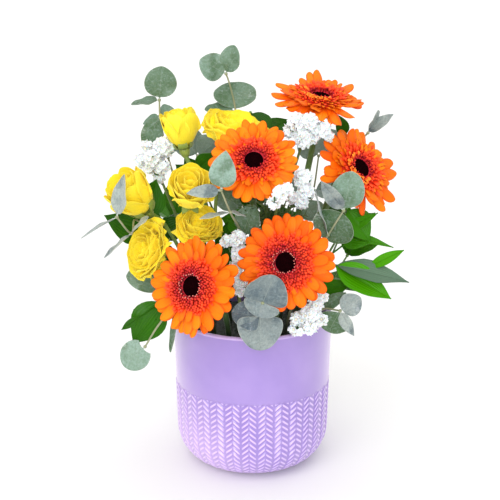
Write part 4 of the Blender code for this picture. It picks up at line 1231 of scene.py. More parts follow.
def add_floret(gather, rng, radius, angle, out, base, tint, wild):
    """One floret: a loose strap where the heart is wild, else a strap or a plump bud."""
    turn = spin_matrix(angle + rng.normal(0.0, 0.2), place=base)
    if rng.random() < wild * (0.25 + 0.75 * out):
        span = radius * (0.08 + 0.13 * out) * rng.uniform(0.75, 1.2)
        width = radius * rng.uniform(0.05, 0.08)
        slot = RAY if rng.random() < out ** 2 else FLORET
        add_strap(gather, turn, span, width, 1.1 - 0.6 * out, 0.6 - 0.5 * out, slot, 1.0)
    elif rng.random() < 0.10 + 0.25 * out ** 2:
        span = radius * (0.07 + 0.07 * out) * rng.uniform(0.8, 1.25)
        width = radius * rng.uniform(0.045, 0.062)
        add_strap(gather, turn, span, width, 1.3 - 0.3 * out, 0.75 - 0.5 * out, FLORET, tint)
    else:
        wide = radius * (0.020 + 0.010 * out) * rng.uniform(0.75, 1.2)
        form = np.diag([wide * 1.2, wide, radius * rng.uniform(0.065, 0.11), 1.0])
        gather.add(BUD.moved(form).moved(spin_matrix(angle, 0.12 + 0.75 * out, base)), FLORET, tint)


def add_florets(gather, rng, settings, radius, mess, outer):
    """Florets crowded in a spiral from the eye out to the rays."""
    wild = wildness(mess)
    crowd = (outer ** 2 - FLORETS_START ** 2) / 0.296
    count = round(settings.florets * crowd * (1.0 - 0.25 * wild))
    for index in range(count):
        share = (index + 0.5) / count
        ring = math.sqrt(FLORETS_START ** 2 + (outer ** 2 - FLORETS_START ** 2) * share)
        angle = index * GOLDEN + rng.normal(0.0, 0.02)
        out = (ring - FLORETS_START) / (outer - FLORETS_START)
        level = 2.6 + 2.2 * math.sin(math.pi * min(1.0, 0.15 + out * 0.8)) - 1.9 * out ** 3
        tint = 0.10 + 0.5 * wild + 1.05 * out ** 1.1 + rng.normal(0.0, 0.14)
        base = polar(ring * radius, angle, level - 1.0)
        add_floret(gather, rng, radius, angle, out, base, float(np.clip(tint, 0.08, 1.0)), wild)


def add_gold(gather, rng, radius, mess, sunny):
    """Open golden florets over the sunny side of a wild heart."""
    for _index in range(round(GOLDEN_FLORETS * ease((mess - 0.9) / 0.3))):
        angle = sunny + rng.normal(0.0, 0.6)
        ring = radius * rng.uniform(0.22, 0.36)
        span = radius * rng.uniform(0.10, 0.15)
        grid = strap_grid(span, radius * rng.uniform(0.045, 0.06), 1.2, 0.4)
        turn = spin_matrix(angle + rng.normal(0.0, 0.4), place=polar(ring, angle, 4.4))
        gather.add(sheet(grid, 0.7, 0.8).moved(turn), GOLD)


def add_pegs(gather, rng, radius, ringed):
    """Slim pegs round the eye, with pale tips in a ringed flower."""
    for index in range(PEGS):
        angle = (index + rng.uniform(-0.35, 0.35)) / PEGS * math.tau
        base = polar(radius * rng.uniform(0.192, 0.25), angle, 2.6)
        slim = np.diag([0.015 * radius, 0.015 * radius, radius * rng.uniform(0.085, 0.12), 1.0])
        turn = spin_matrix(angle, rng.uniform(0.0, 0.3), base)
        gather.add(BUD.moved(slim).moved(turn), PEG if ringed else FLORET, 0.1)


def add_eye(gather, rng, radius):
    """Dark grains over a dark cushion."""
    size = np.diag([0.0155 * radius, 0.0155 * radius, 0.045 * radius, 1.0])
    for index in range(EYE_GRAINS):
        ring = radius * EYE_EDGE * math.sqrt((index + 0.5) / EYE_GRAINS)
        angle = index * GOLDEN
        base = polar(ring, angle, 1.2 + rng.uniform(0.0, 0.3))
        gather.add(GRAIN.moved(size).moved(spin_matrix(angle, 0.1, base)), EYE)
    cushion = [(0.3, 0.4), (0.20 * radius, 0.4), (0.212 * radius, 2.4), (0.18 * radius, 2.7), (0.3, 2.6)]
    gather.add(turned(cushion, 32), EYE)


def add_bed(gather, reach):
    """The domed bed that the florets stand in, darkest in its middle."""
    dome = [
        (0.3, 0.9), (reach * 0.96, 0.9), (reach, 1.9), (reach * 0.86, 3.5),
        (reach * 0.5, 4.0), (reach * 0.38, 2.4), (0.3, 1.2),
    ]
    shades = np.repeat((0.7, 0.7, 0.7, 0.55, 0.25, 0.0, 0.0), BED_SIDES)
    gather.add(turned(dome, BED_SIDES), BED, np.concatenate([shades, [0.7, 0.0]]))


def heart_of_gerbera(gather, rng, settings, radius, mess, sunny, ringed):
    """Florets, pegs and eye on their bed, narrower in a messy flower."""
    outer = max(0.485, 0.64 - 0.19 * mess)
    add_florets(gather, rng, settings, radius, mess, outer)
    add_gold(gather, rng, radius, mess, sunny)
    add_pegs(gather, rng, radius, ringed)
    add_eye(gather, rng, radius)
    add_bed(gather, (outer + 0.02) * radius)


def bract_grid(span, width, swell):
    """A narrow pointed bract that hugs the cup, along +Z."""
    along = np.linspace(0.0, 1.0, 7)[:, None]
    across = np.array([-1.0, -0.4, 0.4, 1.0])[None, :]
    half = width / 2.0 * (0.75 + 0.5 * np.sin(math.pi * along * 0.8)) * (1.0 - along ** 3) + 0.12
    x = swell * np.sin(along * math.pi / 2.0) - 0.12 * half * across ** 2
    return np.stack(np.broadcast_arrays(x, half * across, span * along), -1)


def ridged(angle):
    """The section of a gerbera stem, with five low ridges."""
    return 1.0 + 0.03 * np.cos(5.0 * angle)


def gerbera_stalk(name, foot, centre, facing, place, green, rng):
    """Ridged downy stem, green cup and its overlapping bracts."""
    normal = unit(facing)
    middle = np.array(centre, float)
    path = stem_path(foot, [middle - normal * GERBERA_NECK, middle - normal * GERBERA_STEM_END])
    radii = np.full(len(path), GERBERA_STEM)
    radii[-4:] = (2.75, 2.9, 3.2, 3.6)
    gather = Gather()
    stem = tube(path, radii, GERBERA_SIDES, ridged)
    paling = np.repeat(np.linspace(0.0, 0.35, len(path)), GERBERA_SIDES)
    gather.add(stem, tint=np.concatenate([paling, [0.0, 0.35]]))
    gather.add(turned(GERBERA_CUP, 28).moved(place), tint=0.1)
    for row, (count, start, low, span, width, swell) in enumerate(BRACT_ROWS):
        for index in range(count):
            grid = bract_grid(span * rng.uniform(0.85, 1.1), width, swell * rng.uniform(0.9, 1.15))
            angle = (index + 0.5 * row) / count * math.tau
            bract = sheet(grid, 0.6).moved(spin_matrix(angle, place=polar(start, angle, low)))
            gather.add(bract.moved(place), tint=rng.uniform(0.0, 0.4))
    stalk = gather.build(name + "_stalk", [green])
    stand_for(stalk, "gerbera_green", name + "_stem")


def build_gerberas(settings):
    """Every gerbera: rays, heart and stalk."""
    ray, floret, eye = ray_finish(settings), floret_finish(settings), eye_finish(settings)
    pollen, gold = pollen_finish(), gold_finish()
    green = green_finish("gerbera_green", settings.green[:], GERBERA_SHADE, 0.5, 10.0, 0.25)
    for number, (name, spec) in enumerate(GERBERAS.items()):
        foot, centre, facing, radius, mess, warmth, cupping = spec
        rng = np.random.default_rng(100 + number)
        place = facing_matrix(centre, facing)
        near = place[:3, :3].T @ np.array(SUNNY_SIDE)
        sunny = math.atan2(near[1], near[0])
        local = Gather()
        ray_rows(local, rng, settings, radius, mess, warmth, cupping, sunny)
        local.shapes = [shape.moved(place) for shape in local.shapes]
        stand_for(local.build(name + "_petals", [ray]), "gerbera_orange", name + "_rays")
        local = Gather()
        heart_of_gerbera(local, rng, settings, radius, mess, sunny, name in PALE_RINGED)
        local.shapes = [shape.moved(place) for shape in local.shapes]
        heart = local.build(name + "_florets", [floret, eye, pollen, floret, ray, gold])
        stand_for(heart, "gerbera_heart", name + "_heart")
        gerbera_stalk(name, foot, centre, facing, place, green, rng)


# ---------------------------------------------------------------- roses
# radii of stem and branch, gap between branch and bloom, thickness of a petal
ROSE_STEM = 2.0
ROSE_BRANCH = 1.6
ROSE_BRANCH_END = 6.0
ROSE_BLADE = 0.5
# shares of the whorl between which the height of a petal is set
ROSE_RIM = (0.0, 0.35, 0.75, 1.0)
# distance of a sepal's base from the middle, and how open a bloom is when its sepals fold back
SEPAL_START = 4.0
HALF_OPEN = 0.3
# length in bloom radii, width and turn of the sepals of a closed bloom and of an open one
CLOSED_SEPALS, OPEN_SEPALS = (0.85, 8.6, 1.15), (0.45, 6.4, -0.35)
ROSE_HIP = ((0.6, -9.4), (1.7, -8.6), (3.4, -6.6), (4.6, -3.6), (4.8, -1.2), (4.3, -0.3), (1.0, -0.2))


def rose_petal_grid(rng, radius, half, share, opened, hollow, brim):
    """One petal of a bloom of a given radius and half height, its middle on +X; share 0 is inmost."""
    along = np.linspace(0.0, 1.0, 13)[:, None]
    across = np.linspace(-1.0, 1.0, 13)[None, :]
    wrap = 1.9 - 2.4 * share + 1.45 * share ** 2
    up = along * (1.0 - (0.08 + 0.10 * share) * across ** 2 - 0.14 * across ** 6)
    rim = radius * (0.07 + (0.60 + min(0.30, 2.0 * opened)) * share) * rng.uniform(0.95, 1.05)
    stand = float(np.interp(share, ROSE_RIM, (0.78, 0.92, max(0.80, brim), brim)))
    top = stand * half - hollow * half * (1.0 - share) * 1.1
    top += rng.normal(0.0, 0.04) * half
    belly = rim * (1.22 - 0.30 * opened * share) + 0.10 * radius
    sink = half * (-0.55 + 0.25 * (1.0 - share))
    reach = (1.0 - up) ** 2 * 0.14 * radius + 2.0 * up * (1.0 - up) * belly + up ** 2 * rim
    level = (1.0 - up) ** 2 * -0.96 * half + 2.0 * up * (1.0 - up) * sink + up ** 2 * top
    curl = radius * (0.075 + 0.09 * share * (0.4 + opened)) * rng.uniform(0.6, 1.5)
    roll = ease((along - 0.66) / 0.34)
    side = np.abs(across) ** 3 * along ** 2
    reach = reach + curl * (roll + 0.2 * side) + 0.045 * radius * across * along * (1.0 - 0.4 * share)
    level = level - curl * (0.9 * roll ** 2 + 0.2 * side)
    phase, pace = rng.uniform(0.0, math.tau), rng.uniform(1.6, 2.6)
    ruffle = (0.018 + 0.010 * opened) * radius * along ** 4
    reach = reach + ruffle * np.sin(pace * math.pi * across + phase)
    level = level + ruffle * 1.2 * np.cos(pace * 1.3 * math.pi * across + 1.7 * phase)
    widening = 0.40 + 0.60 * np.sin(math.pi / 2.0 * np.clip(along / 0.5, 0.0, 1.0))
    angle = wrap * across * widening * (1.0 - 0.12 * roll)
    angle = angle + rng.normal(0.0, 0.10) * along
    return np.stack(np.broadcast_arrays(reach * np.cos(angle), reach * np.sin(angle), level), -1)


def build_bloom(name, number, spec, petal):
    """A whorl of petals that opens from a tight heart to loose outer petals."""
    centre, facing, radius, height, ratio, count, opened, hollow, brim = spec
    rng = np.random.default_rng(300 + number)
    place = facing_matrix(centre, facing) @ np.diag([ratio, 1.0, 1.0, 1.0])
    gather = Gather()
    half = height / 2.0
    for index in range(count):
        share = ((index + 0.4) / (count - 0.4)) ** 0.78
        grid = rose_petal_grid(rng, radius, half, share, opened, hollow, brim)
        angle = index * GOLDEN + rng.normal(0.0, 0.12)
        drift = 0.035 * (1.0 - share) + 0.012
        off = (rng.normal(0.0, drift * radius), rng.normal(0.0, drift * radius), rng.normal(0.0, 0.02 * half))
        shape = sheet(grid, ROSE_BLADE).moved(spin_matrix(angle, rng.normal(0.0, 0.04), off)).moved(place)
        gather.add(shape, tint=rng.uniform(0.0, 1.0))
    level = 0.3 - 1.1 * hollow
    core = [
        (0.5, -half * 0.9), (0.2 * radius, -half * 0.85), (radius * 0.55, -half * 0.40),
        (radius * 0.42, half * (level - 0.1)), (radius * 0.2, half * (level + 0.1)),
        (0.6, half * (level + 0.16)),
    ]
    gather.add(turned(core, 16).moved(place), tint=0.0)
    stand_for(gather.build(name + "_petals", [petal]), "rose_yellow", name + "_bloom")


def sepal_grid(span, width, hug):
    """A pointed sepal that leaves the hip, along +X and up or down by hug."""
    along = np.linspace(0.0, 1.0, 9)[:, None]
    across = np.array([-1.0, -0.5, 0.0, 0.5, 1.0])[None, :]
    half = width / 2.0 * np.sin(math.pi * (0.18 + 0.82 * along) ** 0.8) + 0.15
    turn = hug * ease(along * 1.2)
    x = SEPAL_START + span * along * np.cos(turn)
    z = -0.8 + span * along * np.sin(turn) + 0.25 * half * across ** 2
    return np.stack(np.broadcast_arrays(x, half * across, z), -1)


def build_spray(name, spray, green, rng):
    """One branching stem with a hip and sepals under each bloom."""
    foot, fork, branches = spray
    main = stem_path(foot, [fork])
    onward = unit(main[-1] - main[-2])
    gather = Gather()
    gather.add(tube(main, ROSE_STEM, 12), tint=0.0)
    for rose, bend in branches.items():
        centre, facing, radius, height, _ratio, _count, opened, _hollow, _brim = ROSES[rose]
        normal = unit(facing)
        start = np.array(fork, float) - onward * 3.0
        seat = np.array(centre, float) - normal * (height / 2.0 + ROSE_BRANCH_END)
        run = smooth_run([start, bend, seat], onward)
        radii = np.full(len(run), ROSE_BRANCH)
        radii[-3:] = (1.8, 2.0, 2.3)
        gather.add(tube(run, radii, 10), tint=0.35)
        place = facing_matrix(np.array(centre) - normal * height / 2.0, facing)
        gather.add(turned(ROSE_HIP, 20).moved(place), tint=0.8)
        reach, width, hug = CLOSED_SEPALS if opened < HALF_OPEN else OPEN_SEPALS
        for index in range(5):
            span = radius * reach * rng.uniform(0.85, 1.1)
            grid = sepal_grid(span, width, hug * rng.uniform(0.8, 1.1))
            shape = sheet(grid, 0.6).moved(spin_matrix(index / 5 * math.tau + 0.3)).moved(place)
            gather.add(shape, tint=0.6)
    stand_for(gather.build(name.replace("spray", "stalks"), [green]), "rose_green", name)


def build_roses(settings):
    """All blooms and both branching stems."""
    petal = petal_finish(settings)
    green = green_finish("rose_green", settings.green[:], ROSE_SHADE, 0.42, 8.0)
    for number, (name, spec) in enumerate(ROSES.items()):
        build_bloom(name, number, spec, petal)
    rng = np.random.default_rng(350)
    for name, spray in ROSE_SPRAYS.items():
        build_spray(name, spray, green, rng)


# ---------------------------------------------------------------- statice
# florets over a lobe of one floret's radius, and the share of them that are bare bracts
FLORET_CROWD = 5.2
BARE_SHARE = 0.05
# radii of a stem, a branch to a lobe and a branchlet to a floret
STATICE_STEM, BRANCH, BRANCHLET = 1.25, 0.8, 0.45
COLLAR_BRACTS = 9
TRUMPET_SIDES, STAR_SIDES = 20, 10
# the order of the looks in the material slots of a flower head
PAPER, HEART, STALK = range(3)
# height and width of the rings of a papery floret, up its outside and down its inside
TRUMPET_RINGS = (
    (0.0, 0.20), (0.45, 0.62), (0.84, 1.08),
    (0.80, 1.00), (0.66, 0.72), (0.56, 0.42), (0.62, 0.12),
)
STAR_RINGS = ((0.0, 0.12), (0.1, 0.7), (0.35, 1.0), (0.42, 0.9), (0.25, 0.35), (0.5, 0.10))
# needles on a twig, and the twigs as (start, end)
NEEDLES = 26
NEEDLE_TWIGS = {
    "statice_3": (
        ((13, -36, 226), (-3, -44, 247)),
        ((13, -36, 226), (9, -47, 245)),
        ((13, -36, 226), (22, -48, 241)),
        ((14, -35, 222), (33, -48, 238)),
        ((14, -35, 222), (44, -46, 236)),
        ((13, -36, 230), (3, -40, 255)),
        ((14, -36, 230), (16, -42, 256)),
        ((15, -36, 228), (29, -43, 253)),
        ((16, -36, 226), (36, -45, 248)),
        ((12, -36, 226), (-8, -40, 240)),
    ),
}


def trumpet(rng, radius):
    """A pleated papery floret that opens along +Z, closed as a thin-walled cup with a low heart."""
    angle = np.linspace(0.0, math.tau, TRUMPET_SIDES, endpoint=False)
    phase = rng.uniform(0.0, math.tau)
    fold = np.cos(5.0 * angle)
    ruffle = rng.normal(0.0, 0.07, TRUMPET_SIDES)
    rings = []
    for level, wide in TRUMPET_RINGS:
        flare = wide ** 2
        reach = radius * wide * (1.0 + (0.10 * fold + ruffle) * flare)
        wave = 0.14 * np.cos(5.0 * angle + 0.6) + 0.14 * np.sin(2.0 * angle + phase)
        height = radius * (1.35 * level + wave * flare)
        rings.append(np.stack([reach * np.cos(angle), reach * np.sin(angle), height], -1))
    return skin(np.array(rings))


def star(radius):
    """A tiny five-petalled flower."""
    angle = np.linspace(0.0, math.tau, STAR_SIDES, endpoint=False)
    lobe = 1.0 + 0.35 * np.cos(5.0 * angle)
    rings = []
    for level, wide in STAR_RINGS:
        reach = radius * wide * (lobe if wide > 0.5 else 1.0)
        flat = np.full(STAR_SIDES, radius * level)
        rings.append(np.stack([reach * np.cos(angle), reach * np.sin(angle), flat], -1))
    return skin(np.array(rings))


def floret_places(rng, lobes, number, radius):
    """Places over one lobe that no other lobe swallows, and the way each faces."""
    heart, reach = np.array(lobes[number][0], float), lobes[number][1]
    others = [(np.array(heart_of, float), wide) for heart_of, wide in lobes[:number] + lobes[number + 1:]]
    count = round(FLORET_CROWD * (reach / radius) ** 2)
    for index in range(count):
        level = 1.0 - 2.0 * (index + 0.5) / count
        ring = math.sqrt(1.0 - level * level)
        way = unit(np.array(polar(ring, index * GOLDEN, level)) + rng.normal(0.0, 0.08, 3))
        place = heart + way * reach * rng.uniform(0.92, 1.0)
        if all(np.linalg.norm(place - other) > wide - 2.0 for other, wide in others):
            yield place, unit(way + rng.normal(0.0, 0.14, 3))


def build_cluster(name, label, spec, settings, looks, rng):
    """A head of papery florets crowded over its lobes, on branchlets from its middle."""
    middle, lobes, size_share, specks = spec
    middle = np.array(middle, float)
    radius = tuned(settings, "floret") * size_share
    gather = Gather()
    corolla = star(radius * 0.36)
    for number, (heart, _reach) in enumerate(lobes):
        heart = np.array(heart, float)
        halfway = (middle + heart) / 2.0 + rng.normal(0.0, 1.0, 3)
        branch = smooth_run([middle, halfway, heart], heart - middle)
        gather.add(tube(branch, BRANCH, 6), STALK, 0.2)
        for place, way in floret_places(rng, lobes, number, radius):
            size = radius * rng.uniform(0.85, 1.15)
            base = place - way * size * 1.3
            bend = (heart + base) / 2.0 + rng.normal(0.0, 0.3, 3)
            gather.add(tube([heart, bend, base + way * 0.6], BRANCHLET, 5), STALK, 0.2)
            if rng.random() < BARE_SHARE:
                grid = bract_grid(size * 1.9, size * 0.9, 0.8)
                gather.add(sheet(grid, 0.5).moved(facing_matrix(base - way * 1.2, way)), STALK, 0.2)
                continue
            gather.add(trumpet(rng, size).moved(facing_matrix(base, way)), PAPER, rng.uniform(0.0, 1.0))
            if rng.random() < specks:
                gather.add(corolla.moved(facing_matrix(base + way * size * 0.84, way)), HEART)
    piece = gather.build(name + "_florets_" + label, [looks["paper"], looks["heart"], looks["green"]])
    stand_for(piece, "statice_white", name + "_flowers_" + label)


def add_collar(gather, run, half_height, rng):
    """Pointed bracts round a stem just under its flower head."""
    path = np.array(run)
    for index in range(COLLAR_BRACTS):
        drop = half_height + rng.uniform(-3.0, 9.0)
        place = path[np.argmin(np.abs(np.linalg.norm(path - path[-1], axis=1) - drop))]
        grid = bract_grid(rng.uniform(7.0, 11.0), rng.uniform(3.2, 4.6), 3.0)
        shape = sheet(grid, 0.5).moved(spin_matrix(index * GOLDEN, 0.25, (0.9, 0.0, 0.0)))
        gather.add(shape.moved(facing_matrix(place, path[-1] - path[-3])), tint=0.1)


def add_needles(gather, start, end, rng):
    """A thin twig set with dark needles."""
    start, end = np.array(start, float), np.array(end, float)
    along = end - start
    gather.add(tube([start, start + along * 0.5, end], 0.5, 6))
    for index in range(NEEDLES):
        share = (index + 0.5) / NEEDLES
        matrix = facing_matrix(start + along * share, along) @ spin_matrix(index * GOLDEN, 0.75)
        needle = sheet(bract_grid(rng.uniform(6.0, 9.0) * (1.1 - 0.4 * share), 1.3, 0.6), 0.4)
        gather.add(needle.moved(matrix), tint=rng.uniform(0, 0.5))


def winged(angle):
    """The section of a statice stem, with three wings."""
    return 1.0 + 0.35 * np.cos(3.0 * angle)


def build_statices(settings):
    """Every stem of statice."""
    looks = {
        "paper": paper_finish(settings),
        "heart": speck_finish(),
        "green": green_finish("statice_green", settings.green[:], STATICE_SHADE, 0.5, 6.0),
    }
    rng = np.random.default_rng(400)
    for name, (foot, bends, clusters) in STATICE.items():
        main = stem_path(foot, bends)
        onward = unit(main[-1] - main[-2])
        gather = Gather()
        gather.add(tube(main, STATICE_STEM, 12, winged))
        for label, spec in clusters.items():
            run = smooth_run([np.array(bends[-1]) - onward * 2.0, spec[0]], onward)
            gather.add(tube(run, np.linspace(1.2, 0.85, len(run)), 12, winged))
            middle, lobes = spec[:2]
            add_collar(gather, run, middle[2] - min(heart[2] for heart, _reach in lobes), rng)
            build_cluster(name, label, spec, settings, looks, rng)
        for start, end in NEEDLE_TWIGS.get(name, ()):
            add_needles(gather, start, end, rng)
        stand_for(gather.build(name + "_stalk", [looks["green"]]), "statice_green", name + "_stem")


# ---------------------------------------------------------------- foliage
# how far a blade cups and sags, where it has points across it, and its rows of points
LEAF_CUP = 0.12
LEAF_SAG = 0.06
LEAF_ACROSS = np.array([-1.0, -0.88, -0.68, -0.46, -0.24, -0.06, 0.0, 0.06, 0.24, 0.46, 0.68, 0.88, 1.0])
LEAF_ROWS, STALK_ROWS = 19, 4
# half width of a leaf's stalk, radii of a shoot at foot and tip, the width for its length of a round leaf,
# how far inner leaves are darkened with painted shade, and the knuckle at a leaf's base
PETIOLE = 0.75
SHOOT_RADII = (1.25, 0.75)
ROUND_LEAF = 0.58
INNER_LEAF_SHADE = 0.35
KNUCKLE = turned([(0.3, -1.4), (1.1, -1.0), (1.5, 0.0), (1.2, 1.0), (0.3, 1.4)], 12)

# the look of each eucalyptus sprig and how pale it is, and the leaves that differ from their sprig
EUCALYPTUS_TONE = {
    "eucalyptus_1": ("green", 0.24), "eucalyptus_2": ("green", 0.28), "eucalyptus_3": ("grey", 0.68),
    "eucalyptus_4": ("green", 0.60), "eucalyptus_5": ("grey", 0.80), "eucalyptus_6": ("grey", 1.0),
    "eucalyptus_7": ("green", 0.62), "eucalyptus_8": ("grey", 0.03), "eucalyptus_9": ("grey", 0.40),
    "eucalyptus_10": ("green", 0.15), "eucalyptus_11": ("green", 0.20),
}
ODD_LEAVES = {
    ("eucalyptus_2", 0): ("green", 0.50),
    ("eucalyptus_2", 2): ("green", 0.24),
    ("eucalyptus_4", 1): ("grey", 0.62),
    ("eucalyptus_4", 2): ("green", 0.16),
    ("eucalyptus_4", 3): ("grey", 0.45),
    ("eucalyptus_5", 0): ("green", 1.0),
    ("eucalyptus_5", 4): ("green", 0.06),
    ("eucalyptus_8", 2): ("grey", 0.16),
    ("eucalyptus_9", 1): ("grey", 0.60),
    ("eucalyptus_9", 2): ("green", 0.12),
}
# how fresh each ruscus sprig is; sprigs behind and under the flowers are set dark as painted shade
RUSCUS_TONE = {
    "ruscus_1": 0.18, "ruscus_2": 0.20, "ruscus_3": 0.20, "ruscus_4": 0.15, "ruscus_5": 1.0, "ruscus_6": 0.66,
    "ruscus_7": 0.2, "ruscus_8": 0.15, "ruscus_9": 0.04, "ruscus_10": 0.4,
}
# the order of the looks in the material slots of a sprig
LEAF, SHOOT, OTHER_LEAF = range(3)
# the sprig whose leaves join round the shoot, the one with notched leaves, broad leaves that still end in
# a point, the grey leaf among the ruscus, and leaves that have a long stalk and a blade at its far end
JOINED = "eucalyptus_8"
HEARTED = "eucalyptus_7"
POINTED = (("eucalyptus_5", 0), ("eucalyptus_4", 1))
GREY_LEAF = ("ruscus_5", 1)
FAR_BLADES = (("ruscus_5", 3), ("ruscus_2", 3), ("ruscus_6", 4))


def leaf_grid(rng, base, reach, face, width, form):
    """A stalk and blade from base to base + reach, its upper side towards face."""
    stalk, rise, fall, fold, wave, heart = form
    spine = np.array(reach, float)
    span = np.linalg.norm(spine)
    side = unit(np.cross(face, spine))
    upper = unit(np.cross(spine, side))
    swing = np.linspace(0.0, math.pi, LEAF_ROWS - STALK_ROWS + 1)
    blade = stalk + (1.0 - stalk) * (1.0 - np.cos(swing)) / 2.0
    along = np.concatenate([np.linspace(0.0, stalk, STALK_ROWS)[:-1], blade])
    share = np.clip((along - stalk) / (1.0 - stalk), 0.0, 1.0)
    peak = rise / (rise + fall)
    best = peak ** rise * (1.0 - peak) ** fall
    half = width / 2.0 * (share ** rise * (1.0 - share) ** fall / best)
    half = np.maximum(half, PETIOLE * (1.0 - 0.4 * share))[:, None]
    along, share = along[:, None], share[:, None]
    across = LEAF_ACROSS[None, :]
    phase = rng.uniform(0.0, math.tau)
    lift = LEAF_CUP * half * across ** 2 + fold * half * np.abs(across) - LEAF_SAG * span * along ** 2 * 0.9
    rolling = np.sin(2.2 * math.pi * along + phase)
    lift = lift + wave * half * rolling * np.abs(across) ** 1.5 * np.sign(across)
    lift = lift + 0.05 * half * np.sin(5.0 * math.pi * along + 2.0 * phase) * across ** 2
    lift = lift + 0.012 * span * math.sin(phase) * np.sin(math.pi * along)
    rib = np.exp(-((across / 0.05) ** 2)) * np.minimum(1.0, half / 3.0)
    lift = lift - 0.22 * rib
    along = along - heart * np.abs(across) ** 1.6 * np.exp(-5.0 * share) * ease(share / 0.04)
    flat = np.array(base, float) + spine * along[..., None] + side * (half * across)[..., None]
    return flat + upper * lift[..., None]


def leaf_form(rng, name, number, kind, reach, width):
    """Stalk share, rise and fall of the outline, fold, wave and heart of one leaf."""
    if (name, number) in FAR_BLADES:
        return 0.60, 0.8, 1.0, 0.15, 0.05, 0.0
    if kind == "ruscus":
        return 0.07, 0.78, 1.15, 0.10, 0.08, 0.0
    if name == JOINED:
        return 0.01, 0.14, 0.48, 0.0, 0.04, 0.0
    if name == HEARTED:
        return 0.10, 0.36, 0.52, 0.0, 0.05, 0.16
    blunt = width / np.linalg.norm(reach) > ROUND_LEAF and (name, number) not in POINTED
    fall = rng.uniform(0.48, 0.66) if blunt else 0.85
    return 0.09, 0.48, fall, 0.02, 0.10, 0.0


def leaf_look(name, number, inner, kind, tone):
    """The material slot of a leaf and how pale or fresh it is; inner leaves are greener, with painted shade.
    """
    if kind == "ruscus":
        slot = OTHER_LEAF if (name, number) == GREY_LEAF else LEAF
        return slot, tone * (INNER_LEAF_SHADE if inner else 1.0)
    look, pale = ODD_LEAVES.get((name, number), tone)
    if inner:
        return OTHER_LEAF, pale * INNER_LEAF_SHADE
    return (OTHER_LEAF if look == "green" else LEAF), pale


def build_sprig(name, spec, looks, tone, rng, settings, kind):
    """A stem with its leaves."""
    foot, points, leaves = spec
    path = stem_path(foot, points)
    gather = Gather()
    gather.add(tube(path, np.linspace(*SHOOT_RADII, len(path)), 10), SHOOT, 0.3)
    thick = tuned(settings, "blade")
    for number, (index, reach, face, width) in enumerate(leaves):
        form = leaf_form(rng, name, number, kind, reach, width)
        grid = leaf_grid(rng, points[index], reach, face, width, form)
        inner = index == 0 and (name, number) not in FAR_BLADES
        slot, level = leaf_look(name, number, inner, kind, tone)
        gather.add(sheet(grid, thick), slot, float(np.clip(level + rng.normal(0.0, 0.12), 0.0, 1.0)))
        gather.add(KNUCKLE.moved(facing_matrix(points[index], reach)), SHOOT, 0.3)
    look = "eucalyptus_grey" if kind == "eucalyptus" else "ruscus_green"
    stand_for(gather.build(name + "_sprig", looks), look, name)


def build_foliage(settings, kind):
    """Every sprig of one kind."""
    if kind == "eucalyptus":
        shoot = green_finish("eucalyptus_shoot", settings.shoot[:], OLD_SHOOT, 0.55, 5.0)
        frost = settings.frost[:]
        grey = waxy_finish("eucalyptus_leaf", settings.grey_deep[:], settings.grey[:], frost)
        green = waxy_finish("green_eucalyptus_leaf", settings.green_deep[:], settings.green[:], frost)
        looks, table, tones = [grey, shoot, green], EUCALYPTUS, EUCALYPTUS_TONE
    else:
        shoot = green_finish("ruscus_shoot", *RUSCUS_SHOOT_TONES, 0.4, 6.0)
        fresh, dark = settings.ruscus[:], settings.ruscus_dark[:]
        leaf = lined_leaf_finish("ruscus_leaf", fresh, dark, RUSCUS_RIB, 0.03)
        grey = lined_leaf_finish("grey_leaf", *GREY_LEAF_TONES, 0.0)
        looks, table, tones = [leaf, shoot, grey], RUSCUS, RUSCUS_TONE
    for number, (name, spec) in enumerate(table.items()):
        rng = np.random.default_rng(500 + number)
        build_sprig(name, spec, looks, tones.get(name, 0.35), rng, settings, kind)


# ---------------------------------------------------------------- stage
# the camera's distance in metres, slope in degrees, aim and lens
CAMERA_REACH = 1.0
CAMERA_DROP = 16.6
AIM_HEIGHT = 0.1926
CAMERA_LENS = 82.7
CAMERA_SHIFT = -0.0052
CAMERA_SENSOR = 36.0
FLOOR_SIZE = 30.0
# each light: the way it falls and its softness in degrees
LIGHTS = {
    "key": ((0.45, 1.0, -0.85), 50.0),
    "fill": ((-0.05, 0.96, -0.30), 25.0),
    "top": ((-0.1, -0.2, -1.0), 80.0),
}


def add_light(name, aim, strength, softness):
    """A broad even light that falls along a direction."""
    data = bpy.data.lights.new(name, "SUN")
    data.energy = strength
    data.angle = math.radians(softness)
    light = bpy.data.objects.new(name, data)
    light.rotation_euler = Vector(aim).to_track_quat("-Z", "Y").to_euler()
    bpy.context.scene.collection.objects.link(light)


def build_stage(settings):
    """Pale floor, even sky, three soft lights and the camera."""
    scene = bpy.context.scene
    scene.view_settings.view_transform = "Standard"
    world = bpy.data.worlds.new("studio")
    scene.world = world
    world.use_nodes = True
    sky = world.node_tree.nodes["Background"]
    sky.inputs["Color"].default_value = (1.0, 1.0, 1.0, 1.0)
    sky.inputs["Strength"].default_value = settings.sky
    plate = bmesh.new()
    bmesh.ops.create_grid(plate, x_segments=8, y_segments=8, size=FLOOR_SIZE)
    mesh = bpy.data.meshes.new("studio_floor")
    plate.to_mesh(mesh)
    plate.free()
    mesh.materials.append(floor_finish(settings))
    floor = place_piece("studio_floor", mesh)
    for name, (aim, softness) in LIGHTS.items():
        add_light(name, aim, getattr(settings, name), softness)
    lens = bpy.data.cameras.new("camera")
    lens.lens = CAMERA_LENS
    lens.sensor_width = CAMERA_SENSOR
    lens.shift_x = CAMERA_SHIFT
    lens.clip_end = 100.0
    camera = bpy.data.objects.new("camera", lens)
    drop = math.radians(CAMERA_DROP)
    camera.location = (0.0, -CAMERA_REACH * math.cos(drop), AIM_HEIGHT + CAMERA_REACH * math.sin(drop))
    camera.rotation_euler = (math.pi / 2.0 - drop, 0.0, 0.0)
    scene.collection.objects.link(camera)
    scene.camera = camera


